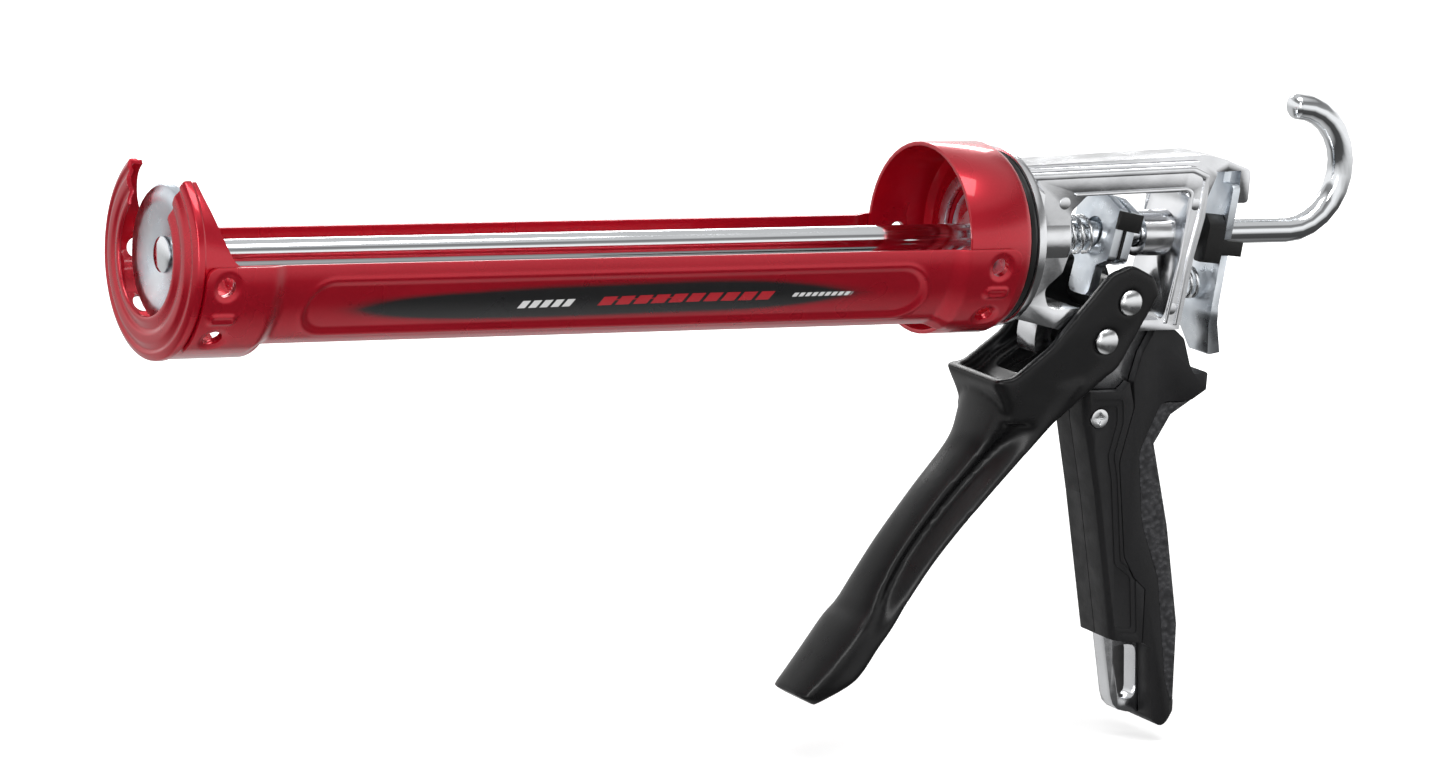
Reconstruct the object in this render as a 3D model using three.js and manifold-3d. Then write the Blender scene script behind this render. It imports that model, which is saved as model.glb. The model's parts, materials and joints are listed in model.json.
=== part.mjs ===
// A skeleton caulking gun for 50 mm cartridges: a red swivelling half-open barrel on a die-cast
// aluminium frame, a hooked push rod, a two-plate friction drive worked by a straddling trigger,
// and a leaning brake plate with a thumb tab. The muzzle points along -X, +Z is up, and the
// origin is on the rod's axis in the flat front face of the piston's rivet. Millimetres.
import * as THREE from "three";
import { mergeVertices } from "three/addons/utils/BufferGeometryUtils.js";
import Module from "manifold-3d";

const wasm = await Module();
wasm.setup();

// ---------- driving dimensions ----------
// While it is built, the model's x = 0 is the front edge of the barrel's rear ring.
const GAP = 0.3; // between pieces that touch
const RUNNING = 0.35; // round a part that slides or turns
const SHEET = 1.2; // sheet steel of the barrel

// barrel
const BARREL_LENGTH = 252; // ring's front edge to the front cup's bead
const RING_RADIUS = 28.5;
const RING_LENGTH = 22.2;
const FLOOR_BORE = 15; // hole in the ring's floor
const BEAD_RADIUS = 29.3;
const SKIRT_RADIUS = 28.9;
const SKIRT_DEPTH = 26; // front cup, along the bottom and sides
const HORN_DEPTH = 3.6; // front cup, at its two top horns
const NOZZLE_RADIUS = 17; // opening in the front cup
const SLOT_HALF_BASE = 12; // slot above the opening, at its foot
const SLOT_HALF_TOP = 17; // and between the horns
const SLOT_TOP = 23.5; // height at which it is widest
const RAIL_RADIUS = 27.8; // outside of a rail
const RAIL_TOP = 3.8; // degrees above the level
const RAIL_BOTTOM = -58; // degrees below it
const TAB_LENGTH = 17; // how far a rail's tab runs over the ring
const JOGGLE = 5; // length of the step from rail to tab
const HOLE_RADIUS = 2.8; // joining holes in tab and ring
const HOLE_ANGLES = [-7, -40]; // degrees from the level

// swivel
const WASHER_RADIUS = 26.2;
const WASHER_THICKNESS = 2;
const FLANGE_RADIUS = 27;
const FLANGE_THICKNESS = 2.7;
const HUB_RADIUS = FLOOR_BORE - GAP;
const RETAINER_RADIUS = 20;
const RETAINER_THICKNESS = 1.5;
const RETAINER_SCREWS = 3;
const SCREW_CIRCLE = 10.5;
const SCREW_SHANK = 1.5;
const SCREW_HEAD = 2.7;

// push rod and piston
const ROD_RADIUS = 4;
const HOOK_START = 133.5; // where the straight rod turns into its hook
const HOOK_RADIUS = 19.2;
const SPIGOT_RADIUS = 3;
const RIVET_RADIUS = 5;
const RIVET_PROUD = 1.2;
const PISTON_SETBACK = 3.9; // piston plate's face behind the bead
const PISTON_RADIUS = 20;
const PISTON_SHEET = 1.3;
const PISTON_RIM = 5; // depth of its turned-back rim
const BACKING_RADIUS = 11;
const BACKING_THICKNESS = 2;

// frame casting
const FRAME_HALF = 10.8; // half width of its upper block
const CORE_HALF = 6.8; // half width below the window
const TANG_HALF = 3; // half width inside the grip
const FRAME_TOP_FRONT = 20.6;
const FRAME_TOP_REAR = 22.4;
const RIDGE_TOP_FRONT = 22.1;
const RIDGE_TOP_REAR = 24.8;
const STEP_RISE = 0.9; // from the block's roof to the step beside the ridge
const PILLAR_TOP_X = 96.1;
const CORNER_RADIUS = 10;
const WINDOW_FRONT = 46;
const BOSS_RADIUS = 7; // round the rod, ahead of the pillar
const BOSS_FRONT = 77.3;

// trigger and its pins
const PIVOT = { x: 60.7, z: -30.1 };
const DRIVE = { x: 68.1, z: -18.4 };
const PIN_RADIUS = 3;
const PIN_HEAD = 4.1;
const PIN_DOME = 1.5;
const ARM_INSIDE = 11.3;
const ARM_THICKNESS = 3.6;
const ARM_OUTSIDE = ARM_INSIDE + ARM_THICKNESS;
const LEVER_HALF = 12; // half width of the trigger's lower end
const LEVER_WALL = 4;
const ROLLER_RADIUS = 5.6;
const PIVOT_BOSS = 8;

// drive plates
const PLATE_LEAN = 11; // degrees, top towards the rear
const PLATE_THICKNESS = 3;
const PLATE_SPACING = 1.1; // between the two plates
const PLATE_HALF = 11;
const PLATE_SHOULDER = 9; // at the plate's sides
const PLATE_TOP = 11.9;
const PLATE_FRONT_X = 62.2; // front plate's front face, on the rod's axis
const FINGER_HALF = 5.5;
const FINGER_END = -19;

// springs
const DRIVE_SPRING_WIRE = 1.3;
const DRIVE_SPRING_RADIUS = ROD_RADIUS + 0.9 + DRIVE_SPRING_WIRE; // outside, clear of the rod
const DRIVE_SPRING_TURNS = 5;
const BRAKE_SPRING_WIRE = 1.2;
const BRAKE_SPRING_RADIUS = 5.4;
const BRAKE_SPRING_TURNS = 4;
const SEAT_GAP = 0.8; // round a spring in its seat

// brake plate
const BRAKE_LEAN = 6;
const BRAKE_THICKNESS = 2.6;
const BRAKE_HALF = 10;
const BRAKE_X = 104; // front face, on the rod's axis
const BRAKE_TOP = 16;
const NECK_HALF = 4.2;
const HOOD_HALF = 5;
const HOOD_UNDERSIDE = 19.5;
const BRAKE_SPRING_Z = -15.4;

// grip
const GRIP_HALF = 10.3;
const GRIP_TOP = -46.4;
const PAD_DEPTH = 3; // rubber over the spine's back
const PAD_CORE = 6.8; // half width of the spine under the rubber
const GRIP_SCREW = { x: 64.5, z: -55 };
const GRIP_SCREW_HEAD = 3;
const NUT_RADIUS = 3.1;

const RING_REAR = RING_LENGTH;
const WASHER_FRONT = RING_REAR + GAP;
const FLANGE_FRONT = WASHER_FRONT + WASHER_THICKNESS + GAP;
const FLANGE_REAR = FLANGE_FRONT + FLANGE_THICKNESS;
const FLOOR_FRONT = RING_REAR - SHEET;
const RETAINER_REAR = FLOOR_FRONT - GAP;
const RETAINER_FRONT = RETAINER_REAR - RETAINER_THICKNESS;
const BEAD_X = -BARREL_LENGTH;
const PISTON_FACE = BEAD_X + PISTON_SETBACK;
const RIVET_FACE = PISTON_FACE - RIVET_PROUD;

// ---------- shapes and solids ----------

/** A closed solid for cutting and joining, from any closed geometry. */
function solid(geometry) {
  const bare = geometry.index ? geometry.toNonIndexed() : geometry.clone();
  bare.deleteAttribute("normal");
  bare.deleteAttribute("uv");
  const merged = mergeVertices(bare, 1e-4);
  const triVerts = new Uint32Array(merged.index.array);
  const vertProperties = new Float32Array(merged.attributes.position.array);
  const made = new wasm.Manifold(new wasm.Mesh({ numProp: 3, vertProperties, triVerts }));
  if (made.volume() >= 0) return made;
  for (let i = 0; i < triVerts.length; i += 3) {
    const first = triVerts[i];
    triVerts[i] = triVerts[i + 1];
    triVerts[i + 1] = first;
  }
  return new wasm.Manifold(new wasm.Mesh({ numProp: 3, vertProperties, triVerts }));
}

/** A three.js geometry, with flat normals, from a solid. */
function geometryOf(body) {
  const mesh = body.getMesh();
  const geometry = new THREE.BufferGeometry();
  geometry.setAttribute("position", new THREE.BufferAttribute(mesh.vertProperties, 3));
  geometry.setIndex(new THREE.BufferAttribute(mesh.triVerts, 1));
  const flat = geometry.toNonIndexed();
  flat.computeVertexNormals();
  return flat;
}

function outline(points) {
  return new THREE.Shape(points.map(([x, y]) => new THREE.Vector2(x, y)));
}

/** The outline with its corners rounded: a point may hold a radius as its third number. */
function rounded(points) {
  const shape = new THREE.Shape();
  const count = points.length;
  points.forEach(([x, y, radius = 0], i) => {
    const corner = new THREE.Vector2(x, y);
    const before = new THREE.Vector2(...points[(i + count - 1) % count]).sub(corner);
    const after = new THREE.Vector2(...points[(i + 1) % count]).sub(corner);
    const half = Math.acos(before.dot(after) / before.length() / after.length()) / 2;
    const longest = Math.min(before.length(), after.length()) / 2;
    const reach = radius === 0 ? 0 : Math.min(radius / Math.tan(half), longest);
    const start = corner.clone().addScaledVector(before.normalize(), reach);
    const end = corner.clone().addScaledVector(after.normalize(), reach);
    if (i === 0) shape.moveTo(start.x, start.y);
    else shape.lineTo(start.x, start.y);
    if (reach > 0) shape.quadraticCurveTo(x, y, end.x, end.y);
  });
  return shape;
}

/** A side-view outline (x, z) given thickness between two y values. */
function sidePlate(shape, yLow, yHigh, curveSegments = 3) {
  const geometry = new THREE.ExtrudeGeometry(shape, {
    depth: yHigh - yLow,
    bevelEnabled: false,
    curveSegments,
  });
  geometry.rotateX(Math.PI / 2);
  geometry.translate(0, yHigh, 0);
  return solid(geometry);
}

/** A side-view outline whose edges are rounded over towards both faces, centred on y = 0. */
function cushioned(points, half, inset, reach) {
  const geometry = new THREE.ExtrudeGeometry(outline(points), {
    depth: 2 * (half - reach),
    bevelThickness: reach,
    bevelSize: inset,
    bevelOffset: -inset,
    bevelSegments: 3,
  });
  geometry.rotateX(Math.PI / 2);
  geometry.translate(0, half - reach, 0);
  return solid(geometry);
}

/** A front-view outline (y, z) given length between two x values. */
function frontPlate(shape, xLow, xHigh, curveSegments = 3) {
  const geometry = new THREE.ExtrudeGeometry(shape, {
    depth: xHigh - xLow,
    bevelEnabled: false,
    curveSegments,
  });
  const turn = new THREE.Matrix4().makeBasis(
    new THREE.Vector3(0, 1, 0),
    new THREE.Vector3(0, 0, 1),
    new THREE.Vector3(1, 0, 0),
  );
  geometry.applyMatrix4(turn);
  geometry.translate(xLow, 0, 0);
  return solid(geometry);
}

/** A profile of (x, radius) points turned round the rod's axis. */
function turned(profile, segments = 48) {
  const closed = [...profile, profile[0]];
  const onAxis = profile[0][1] === 0 && profile[profile.length - 1][1] === 0;
  const points = (onAxis ? profile : closed).map(([x, radius]) => new THREE.Vector2(radius, x));
  const geometry = new THREE.LatheGeometry(points, segments);
  geometry.rotateZ(-Math.PI / 2);
  return solid(geometry);
}

function cylinderX(radius, xLow, xHigh, y = 0, z = 0, segments = 24) {
  const geometry = new THREE.CylinderGeometry(radius, radius, xHigh - xLow, segments);
  geometry.rotateZ(-Math.PI / 2);
  geometry.translate((xLow + xHigh) / 2, y, z);
  return solid(geometry);
}

function cylinderY(radius, yLow, yHigh, x, z, segments = 24) {
  const geometry = new THREE.CylinderGeometry(radius, radius, yHigh - yLow, segments);
  geometry.translate(x, (yLow + yHigh) / 2, z);
  return solid(geometry);
}

function box(xLow, xHigh, yLow, yHigh, zLow, zHigh) {
  const geometry = new THREE.BoxGeometry(xHigh - xLow, yHigh - yLow, zHigh - zLow);
  geometry.translate((xLow + xHigh) / 2, (yLow + yHigh) / 2, (zLow + zHigh) / 2);
  return solid(geometry);
}

/** A pie slice round the rod's axis, from one angle to another, in degrees from +y. */
function slice(fromDegrees, toDegrees, radius, xLow, xHigh) {
  const from = THREE.MathUtils.degToRad(fromDegrees);
  const to = THREE.MathUtils.degToRad(toDegrees);
  const shape = new THREE.Shape();
  shape.moveTo(0, 0);
  shape.lineTo(radius * Math.cos(from), radius * Math.sin(from));
  shape.absarc(0, 0, radius, from, to);
  return frontPlate(shape, xLow, xHigh, Math.ceil(Math.abs(toDegrees - fromDegrees) / 10));
}

/** A cylinder standing out from the rod's axis, at an angle in degrees from +y. */
function radialPin(radius, inner, outer, x, degrees) {
  const geometry = new THREE.CylinderGeometry(radius, radius, outer - inner, 16);
  geometry.translate(0, (inner + outer) / 2, 0);
  geometry.rotateX(THREE.MathUtils.degToRad(degrees));
  geometry.translate(x, 0, 0);
  return solid(geometry);
}

/** A solid turned about an axis along Y through a point. */
function leaned(body, degrees, x, z) {
  return body.translate(-x, 0, -z).rotate(0, degrees, 0).translate(x, 0, z);
}

/** A coil spring along X, its wire's ends cut square. */
class Helix extends THREE.Curve {
  constructor(radius, start, end, turns) {
    super();
    Object.assign(this, { radius, start, end, turns });
  }

  getPoint(t, target = new THREE.Vector3()) {
    const angle = 2 * Math.PI * this.turns * t;
    const x = THREE.MathUtils.lerp(this.start, this.end, t);
    return target.set(x, this.radius * Math.cos(angle), this.radius * Math.sin(angle));
  }
}

function coilSpring({ outerRadius, wire, turns, start, end, z = 0 }) {
  const section = new THREE.Shape().absarc(0, 0, wire / 2, 0, 2 * Math.PI);
  const path = new Helix(outerRadius - wire / 2, start + wire / 2, end - wire / 2, turns);
  const geometry = new THREE.ExtrudeGeometry(section, {
    steps: Math.round(turns * 12),
    curveSegments: 3,
    extrudePath: path,
  });
  geometry.translate(0, 0, z);
  return solid(geometry);
}

const parts = new THREE.Group();
parts.name = "caulking_gun";
// The model is built from the ring's front edge, and then set with the rivet's face at x = 0.
parts.position.x = -RIVET_FACE;

function add(name, body, color, metalness, roughness) {
  const material = new THREE.MeshStandardMaterial({ color, metalness, roughness });
  const mesh = new THREE.Mesh(geometryOf(body), material);
  mesh.name = name;
  parts.add(mesh);
}

const RED = [0xa8121f, 0.6, 0.25];
const ALUMINIUM = [0xc9ccd0, 1, 0.3];
const ZINC = [0xb9c6cc, 1, 0.3];
const CHROME = [0xd8dcdf, 1, 0.12];
const BLACK = [0x141415, 0, 0.45];
const RUBBER = [0x222224, 0, 0.85];

// ---------- barrel ----------

function rearRing() {
  const inner = RING_RADIUS - SHEET;
  const corner = 3;
  let ring = turned([
    [0, inner],
    [0, RING_RADIUS],
    [RING_REAR - corner, RING_RADIUS],
    [RING_REAR - 0.9, RING_RADIUS - 0.9],
    [RING_REAR, RING_RADIUS - corner],
    [RING_REAR, FLOOR_BORE],
    [FLOOR_FRONT, FLOOR_BORE],
    [FLOOR_FRONT, inner - corner + SHEET],
    [FLOOR_FRONT - corner + SHEET, inner],
  ], 48);
  for (const hole of tabHoles(10)) ring = ring.subtract(hole);
  return ring;
}

/** The joining holes through a tab and what it overlaps, on both sides. */
function tabHoles(x) {
  const holes = [];
  for (const angle of HOLE_ANGLES) {
    for (const degrees of [angle, 180 - angle]) {
      holes.push(radialPin(HOLE_RADIUS, RAIL_RADIUS - 5, RAIL_RADIUS + 5, x, degrees));
    }
  }
  return holes;
}

const TAB_INSIDE = RING_RADIUS + GAP;
const CUP_TAB_INSIDE = SKIRT_RADIUS + GAP;
const CUP_TAB_FRONT = BEAD_X + 2.6;
const CUP_TAB_REAR = BEAD_X + SKIRT_DEPTH - 3;

/** Both rails as one turned tube, to be cut into two by slices. */
function railTube() {
  const cupJoggle = CUP_TAB_REAR + JOGGLE;
  const insideRail = RAIL_RADIUS - SHEET;
  return turned([
    [CUP_TAB_FRONT, CUP_TAB_INSIDE],
    [CUP_TAB_FRONT, CUP_TAB_INSIDE + SHEET],
    [CUP_TAB_REAR + 0.6, CUP_TAB_INSIDE + SHEET],
    [cupJoggle + 0.4, RAIL_RADIUS],
    [-JOGGLE - GAP - 0.4, RAIL_RADIUS],
    [-GAP - 0.4, TAB_INSIDE + SHEET],
    [TAB_LENGTH, TAB_INSIDE + SHEET],
    [TAB_LENGTH, TAB_INSIDE],
    [-GAP, TAB_INSIDE],
    [-JOGGLE - GAP, insideRail],
    [cupJoggle, insideRail],
    [CUP_TAB_REAR + 4, CUP_TAB_INSIDE],
  ], 48);
}

function rails() {
  let tube = railTube();
  for (const hole of tabHoles(10)) tube = tube.subtract(hole);
  for (const hole of tabHoles(BEAD_X + 9)) tube = tube.subtract(hole);
  const far = slice(RAIL_BOTTOM, RAIL_TOP, 40, BEAD_X, TAB_LENGTH + 1);
  const near = slice(180 - RAIL_TOP, 180 - RAIL_BOTTOM, 40, BEAD_X, TAB_LENGTH + 1);
  return { left: tube.intersect(near), right: tube.intersect(far) };
}

function frontCup() {
  const skirtInside = SKIRT_RADIUS - SHEET;
  let cup = turned([
    [BEAD_X + SKIRT_DEPTH, skirtInside],
    [BEAD_X + SKIRT_DEPTH, SKIRT_RADIUS],
    [BEAD_X + 2.2, SKIRT_RADIUS],
    [BEAD_X + 1.7, BEAD_RADIUS],
    [BEAD_X, BEAD_RADIUS - 0.3],
    [BEAD_X - 0.9, 27],
    [BEAD_X - 0.3, 26],
    [BEAD_X - 1.5, 24],
    [BEAD_X - 1.5, 21.6],
    [BEAD_X - 0.9, 20.6],
    [BEAD_X - 1.9, NOZZLE_RADIUS + 1],
    [BEAD_X - 1.6, NOZZLE_RADIUS],
    [BEAD_X - 0.6, NOZZLE_RADIUS],
    [BEAD_X - 0.3, NOZZLE_RADIUS + 1],
    [BEAD_X + 0.4, 20.6],
    [BEAD_X - 0.2, 21.6],
    [BEAD_X - 0.2, 23.6],
    [BEAD_X + 1, 25.7],
    [BEAD_X + 0.5, 26.8],
    [BEAD_X + 1.8, skirtInside],
  ], 48);
  const slotFoot = Math.sqrt(NOZZLE_RADIUS ** 2 - SLOT_HALF_BASE ** 2) - 1;
  const slot = outline([
    [-SLOT_HALF_BASE, slotFoot],
    [SLOT_HALF_BASE, slotFoot],
    [SLOT_HALF_TOP, SLOT_TOP],
    [SLOT_HALF_TOP, 40],
    [-SLOT_HALF_TOP, 40],
    [-SLOT_HALF_TOP, SLOT_TOP],
  ]);
  cup = cup.subtract(frontPlate(slot, BEAD_X - 5, BEAD_X + SKIRT_DEPTH + 1));
  const behindHorns = rounded([
    [BEAD_X + HORN_DEPTH, 40],
    [BEAD_X + HORN_DEPTH, 21],
    [BEAD_X + 7.6, 10, 6],
    [BEAD_X + 11.6, 1.5, 3],
    [BEAD_X + SKIRT_DEPTH, 0, 3],
    [BEAD_X + SKIRT_DEPTH + 5, 0],
    [BEAD_X + SKIRT_DEPTH + 5, 40],
  ]);
  cup = cup.subtract(sidePlate(behindHorns, -40, 40));
  for (const hole of tabHoles(BEAD_X + 9)) cup = cup.subtract(hole);
  return cup;
}

// ---------- swivel ----------

function swivelRetainer() {
  let disc = cylinderX(RETAINER_RADIUS, RETAINER_FRONT, RETAINER_REAR, 0, 0, 40);
  disc = disc.subtract(cylinderX(ROD_RADIUS + RUNNING, RETAINER_FRONT - 1, RETAINER_REAR + 1));
  for (let i = 0; i < RETAINER_SCREWS; i += 1) {
    const degrees = 90 + (360 / RETAINER_SCREWS) * i;
    const [y, z] = polar(SCREW_CIRCLE, degrees);
    disc = disc.subtract(
      cylinderX(SCREW_SHANK + 0.25, RETAINER_FRONT - 1, RETAINER_REAR + 1, y, z, 12),
    );
    const kidney = slice(degrees + 32, degrees + 88, 16.6, RETAINER_FRONT - 1, RETAINER_REAR + 1);
    const inside = cylinderX(8.4, RETAINER_FRONT - 2, RETAINER_REAR + 2);
    disc = disc.subtract(kidney.subtract(inside));
  }
  return disc;
}

function polar(radius, degrees) {
  const angle = THREE.MathUtils.degToRad(degrees);
  return [radius * Math.cos(angle), radius * Math.sin(angle)];
}

const SCREW_REACH = 5; // into the hub

function retainerScrew(degrees) {
  const [y, z] = polar(SCREW_CIRCLE, degrees);
  const headRear = RETAINER_FRONT - GAP;
  const head = cylinderX(SCREW_HEAD, headRear - 1.6, headRear, y, z, 20);
  const shank = cylinderX(SCREW_SHANK, headRear - 0.5, FLOOR_FRONT + SCREW_REACH, y, z, 12);
  const drive = box(headRear - 2, headRear - 0.8, y - 1.6, y + 1.6, z - 0.3, z + 0.3);
  return head.add(shank).subtract(drive);
}

// ---------- push rod and piston ----------

/** The rod's centre line: straight, then a half turn up and back over. */
class RodPath extends THREE.Curve {
  static START = PISTON_FACE + PISTON_SHEET + BACKING_THICKNESS + 2 * GAP;

  static STEPS = 14;

  static STRAIGHT_SHARE = 1 / RodPath.STEPS;

  getPoint(t, target = new THREE.Vector3()) {
    if (t <= RodPath.STRAIGHT_SHARE) {
      return target.set(THREE.MathUtils.lerp(RodPath.START, HOOK_START, t / RodPath.STRAIGHT_SHARE), 0, 0);
    }
    const angle = (Math.PI * (t - RodPath.STRAIGHT_SHARE)) / (1 - RodPath.STRAIGHT_SHARE);
    return target.set(
      HOOK_START + HOOK_RADIUS * Math.sin(angle),
      0,
      HOOK_RADIUS * (1 - Math.cos(angle)),
    );
  }

  getPointAt(u, target) {
    return this.getPoint(u, target);
  }

  getTangentAt(u, target = new THREE.Vector3()) {
    if (u <= RodPath.STRAIGHT_SHARE) return target.set(1, 0, 0);
    const angle = (Math.PI * (u - RodPath.STRAIGHT_SHARE)) / (1 - RodPath.STRAIGHT_SHARE);
    return target.set(Math.cos(angle), 0, Math.sin(angle));
  }
}

function pushRod() {
  const section = new THREE.Shape().absarc(0, 0, ROD_RADIUS, 0, 2 * Math.PI);
  const bar = solid(new THREE.ExtrudeGeometry(section, {
    steps: RodPath.STEPS,
    curveSegments: 8,
    extrudePath: new RodPath(),
  }));
  const tip = new THREE.SphereGeometry(ROD_RADIUS - 0.05, 16, 8);
  tip.scale(0.55, 1, 1);
  tip.translate(HOOK_START, 0, 2 * HOOK_RADIUS);
  const spigot = turned([
    [RIVET_FACE, 0],
    [RIVET_FACE, RIVET_RADIUS - 1.4],
    [RIVET_FACE + 0.5, RIVET_RADIUS],
    [PISTON_FACE - GAP, RIVET_RADIUS],
    [PISTON_FACE - GAP, SPIGOT_RADIUS],
    [RodPath.START + 1, SPIGOT_RADIUS],
    [RodPath.START + 1, 0],
  ], 24);
  return bar.add(solid(tip)).add(spigot);
}

function pistonPlate() {
  const bore = SPIGOT_RADIUS + GAP;
  const sheet = PISTON_SHEET;
  const face = PISTON_FACE;
  return turned([
    [face, bore],
    [face, 11],
    [face - 1.2, 14],
    [face - 1.2, 17],
    [face - 0.4, PISTON_RADIUS - 1],
    [face + 1, PISTON_RADIUS],
    [face + PISTON_RIM, PISTON_RADIUS],
    [face + PISTON_RIM, PISTON_RADIUS - sheet],
    [face + 1.4, PISTON_RADIUS - sheet],
    [face + 0.3, 17],
    [face + 0.3, 14.6],
    [face + sheet, 12],
    [face + sheet, bore],
  ], 36);
}

function pistonBacking() {
  const front = PISTON_FACE + PISTON_SHEET + GAP;
  return turned([
    [front, SPIGOT_RADIUS + GAP],
    [front, BACKING_RADIUS],
    [front + BACKING_THICKNESS, BACKING_RADIUS - 0.4],
    [front + BACKING_THICKNESS, SPIGOT_RADIUS + GAP],
  ], 32);
}

// ---------- frame casting ----------

const PILLAR_FOOT = { x: 89.8, z: -28 };
const WINDOW_FLOOR = -20.5;

const BLOCK_OUTLINE = [
  [FLANGE_REAR - 0.5, FRAME_TOP_FRONT],
  [PILLAR_TOP_X, FRAME_TOP_REAR, CORNER_RADIUS * 1.3],
  [95.4, 6.4, 8],
  [92.7, -5.7, 8],
  [PILLAR_FOOT.x, PILLAR_FOOT.z],
  [PIVOT.x + 2, PILLAR_FOOT.z],
  [PIVOT.x + 2, PIVOT.z - PIVOT_BOSS],
  [PIVOT.x - PIVOT_BOSS + 0.6, PIVOT.z + 1, 3],
  [44, -26.5, 6],
  [FLANGE_REAR - 0.5, -22.5],
];

const WINDOW_OUTLINE = [
  [WINDOW_FRONT, 8.8, 3],
  [51.5, 13.9, 3],
  [89.6, 14.4, 3],
  [87.6, -0.3],
  [87, -6.7],
  [83.5, -24.8, 3],
  [72.5, -24.8],
  [PIVOT.x, PIVOT.z + PIVOT_BOSS - 1.6],
  [52.5, WINDOW_FLOOR],
  [41, WINDOW_FLOOR, 3],
  [38.8, -14.5, 3],
  [45, -9.5, 2],
  [47.4, -2],
];

const CORE_OUTLINE = [
  [PIVOT.x - 4, PIVOT.z],
  [78, -25],
  [PILLAR_FOOT.x - 0.6, PILLAR_FOOT.z + 1],
  [87.5, GRIP_TOP + 1.6],
  [87.5, GRIP_TOP],
  [59.5, GRIP_TOP],
  [58.4, -40],
];

const TANG_OUTLINE = [
  [71.5, GRIP_TOP + 4],
  [86, GRIP_TOP + 4],
  [82.5, -60],
  [84, -76],
  [90.5, -106],
  [94, -126],
  [96.6, -150.2, 4],
  [84.6, -149.2, 7],
  [78.6, -124.8],
  [71.5, -70],
];

const LANYARD_SLOT = [
  [81.8, -128.2, 3],
  [90.9, -128.2, 3],
  [92.8, -145.8, 3],
  [86.4, -145.4, 3],
];

/** The roof's two steps, the hood behind it, and the block below. */
function castingBlock() {
  const block = sidePlate(rounded(BLOCK_OUTLINE), -FRAME_HALF, FRAME_HALF, 5);
  const step = sidePlate(rounded([
    [FLANGE_REAR - 0.4, FRAME_TOP_FRONT - 3],
    [FLANGE_REAR - 0.4, FRAME_TOP_FRONT + STEP_RISE],
    [93.5, FRAME_TOP_REAR + STEP_RISE, 2],
    [100.5, 20.2, 2],
    [97.2, 12],
    [90, 10],
  ]), -FRAME_HALF + 2.2, FRAME_HALF - 2.2);
  const ridge = sidePlate(outline([
    [FLANGE_REAR - 0.3, FRAME_TOP_FRONT - 2],
    [FLANGE_REAR - 0.3, RIDGE_TOP_FRONT],
    [96.5, RIDGE_TOP_REAR],
    [106, 23],
    [106, HOOD_UNDERSIDE],
    [99, HOOD_UNDERSIDE],
    [96, 12],
    [90, 12],
  ]), -6, 6);
  const hood = sidePlate(rounded([
    [99, HOOD_UNDERSIDE],
    [111.5, HOOD_UNDERSIDE],
    [111.5, 9.5],
    [115.2, 9.5, 1.5],
    [115.2, 19.8, 2],
    [106, 22.9],
    [97, 24.4],
  ]), -HOOD_HALF, HOOD_HALF);
  return block.add(step).add(ridge).add(hood);
}

/** The strap below the block that the trigger's slot passes round. */
function stopStrap() {
  const shape = new THREE.Shape();
  const from = Math.PI - 0.35;
  const to = Math.PI + 0.26;
  shape.absarc(PIVOT.x, PIVOT.z, 19.3, from, to, false);
  shape.absarc(PIVOT.x, PIVOT.z, 13.6, to, from, true);
  return sidePlate(shape, -4.8, 4.8, 4);
}

function frameCasting() {
  const flange = turned([
    [FLOOR_FRONT, 0],
    [FLOOR_FRONT, HUB_RADIUS],
    [FLANGE_FRONT, HUB_RADIUS],
    [FLANGE_FRONT, FLANGE_RADIUS],
    [FLANGE_REAR, FLANGE_RADIUS - 0.4],
    [FLANGE_REAR + 1.5, 23.5],
    [FLANGE_REAR + 5.5, 21.6],
    [FLANGE_REAR + 5.5, 0],
  ], 48);
  const fillet = box(FLANGE_REAR + 0.2, FLANGE_REAR + 7, -30, -FRAME_HALF - 4.5, -30, 30)
    .add(box(FLANGE_REAR + 0.2, FLANGE_REAR + 7, FRAME_HALF + 4.5, 30, -30, 30));
  let casting = flange.subtract(fillet).add(castingBlock());
  casting = casting.subtract(sidePlate(rounded(WINDOW_OUTLINE), -30, 30));
  casting = casting.add(cylinderX(BOSS_RADIUS, BOSS_FRONT, 92, 0, 0, 28));
  casting = casting.add(sidePlate(rounded(CORE_OUTLINE), -CORE_HALF, CORE_HALF));
  casting = casting.add(sidePlate(rounded(TANG_OUTLINE), -TANG_HALF, TANG_HALF));
  casting = casting.add(stopStrap());
  casting = casting.subtract(sidePlate(rounded(LANYARD_SLOT), -TANG_HALF - 1, TANG_HALF + 1));
  casting = casting.subtract(cylinderX(ROD_RADIUS + RUNNING, FLOOR_FRONT - 1, 110));
  casting = casting.subtract(cylinderX(SPRING_SEAT_RADIUS, SPRING_SEAT_X, WINDOW_FRONT + 3));
  casting = casting.subtract(cylinderX(BRAKE_POCKET, BRAKE_POCKET_X, 100, 0, BRAKE_SPRING_Z));
  casting = casting.subtract(cylinderY(PIN_RADIUS + GAP, -12, 12, PIVOT.x, PIVOT.z));
  for (let i = 0; i < RETAINER_SCREWS; i += 1) {
    const [y, z] = polar(SCREW_CIRCLE, 90 + (360 / RETAINER_SCREWS) * i);
    const depth = FLOOR_FRONT + SCREW_REACH + 0.5;
    casting = casting.subtract(cylinderX(SCREW_SHANK + 0.25, FLOOR_FRONT - 1, depth, y, z, 12));
  }
  return casting;
}

// ---------- drive plates and springs ----------

const PLATE_MIDDLE = PLATE_FRONT_X + PLATE_THICKNESS + PLATE_SPACING / 2;
const SPRING_SEAT_X = 43;
const SPRING_SEAT_RADIUS = DRIVE_SPRING_RADIUS + SEAT_GAP;
const BRAKE_POCKET = BRAKE_SPRING_RADIUS + SEAT_GAP;
const BRAKE_POCKET_X = 90.8;

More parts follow.
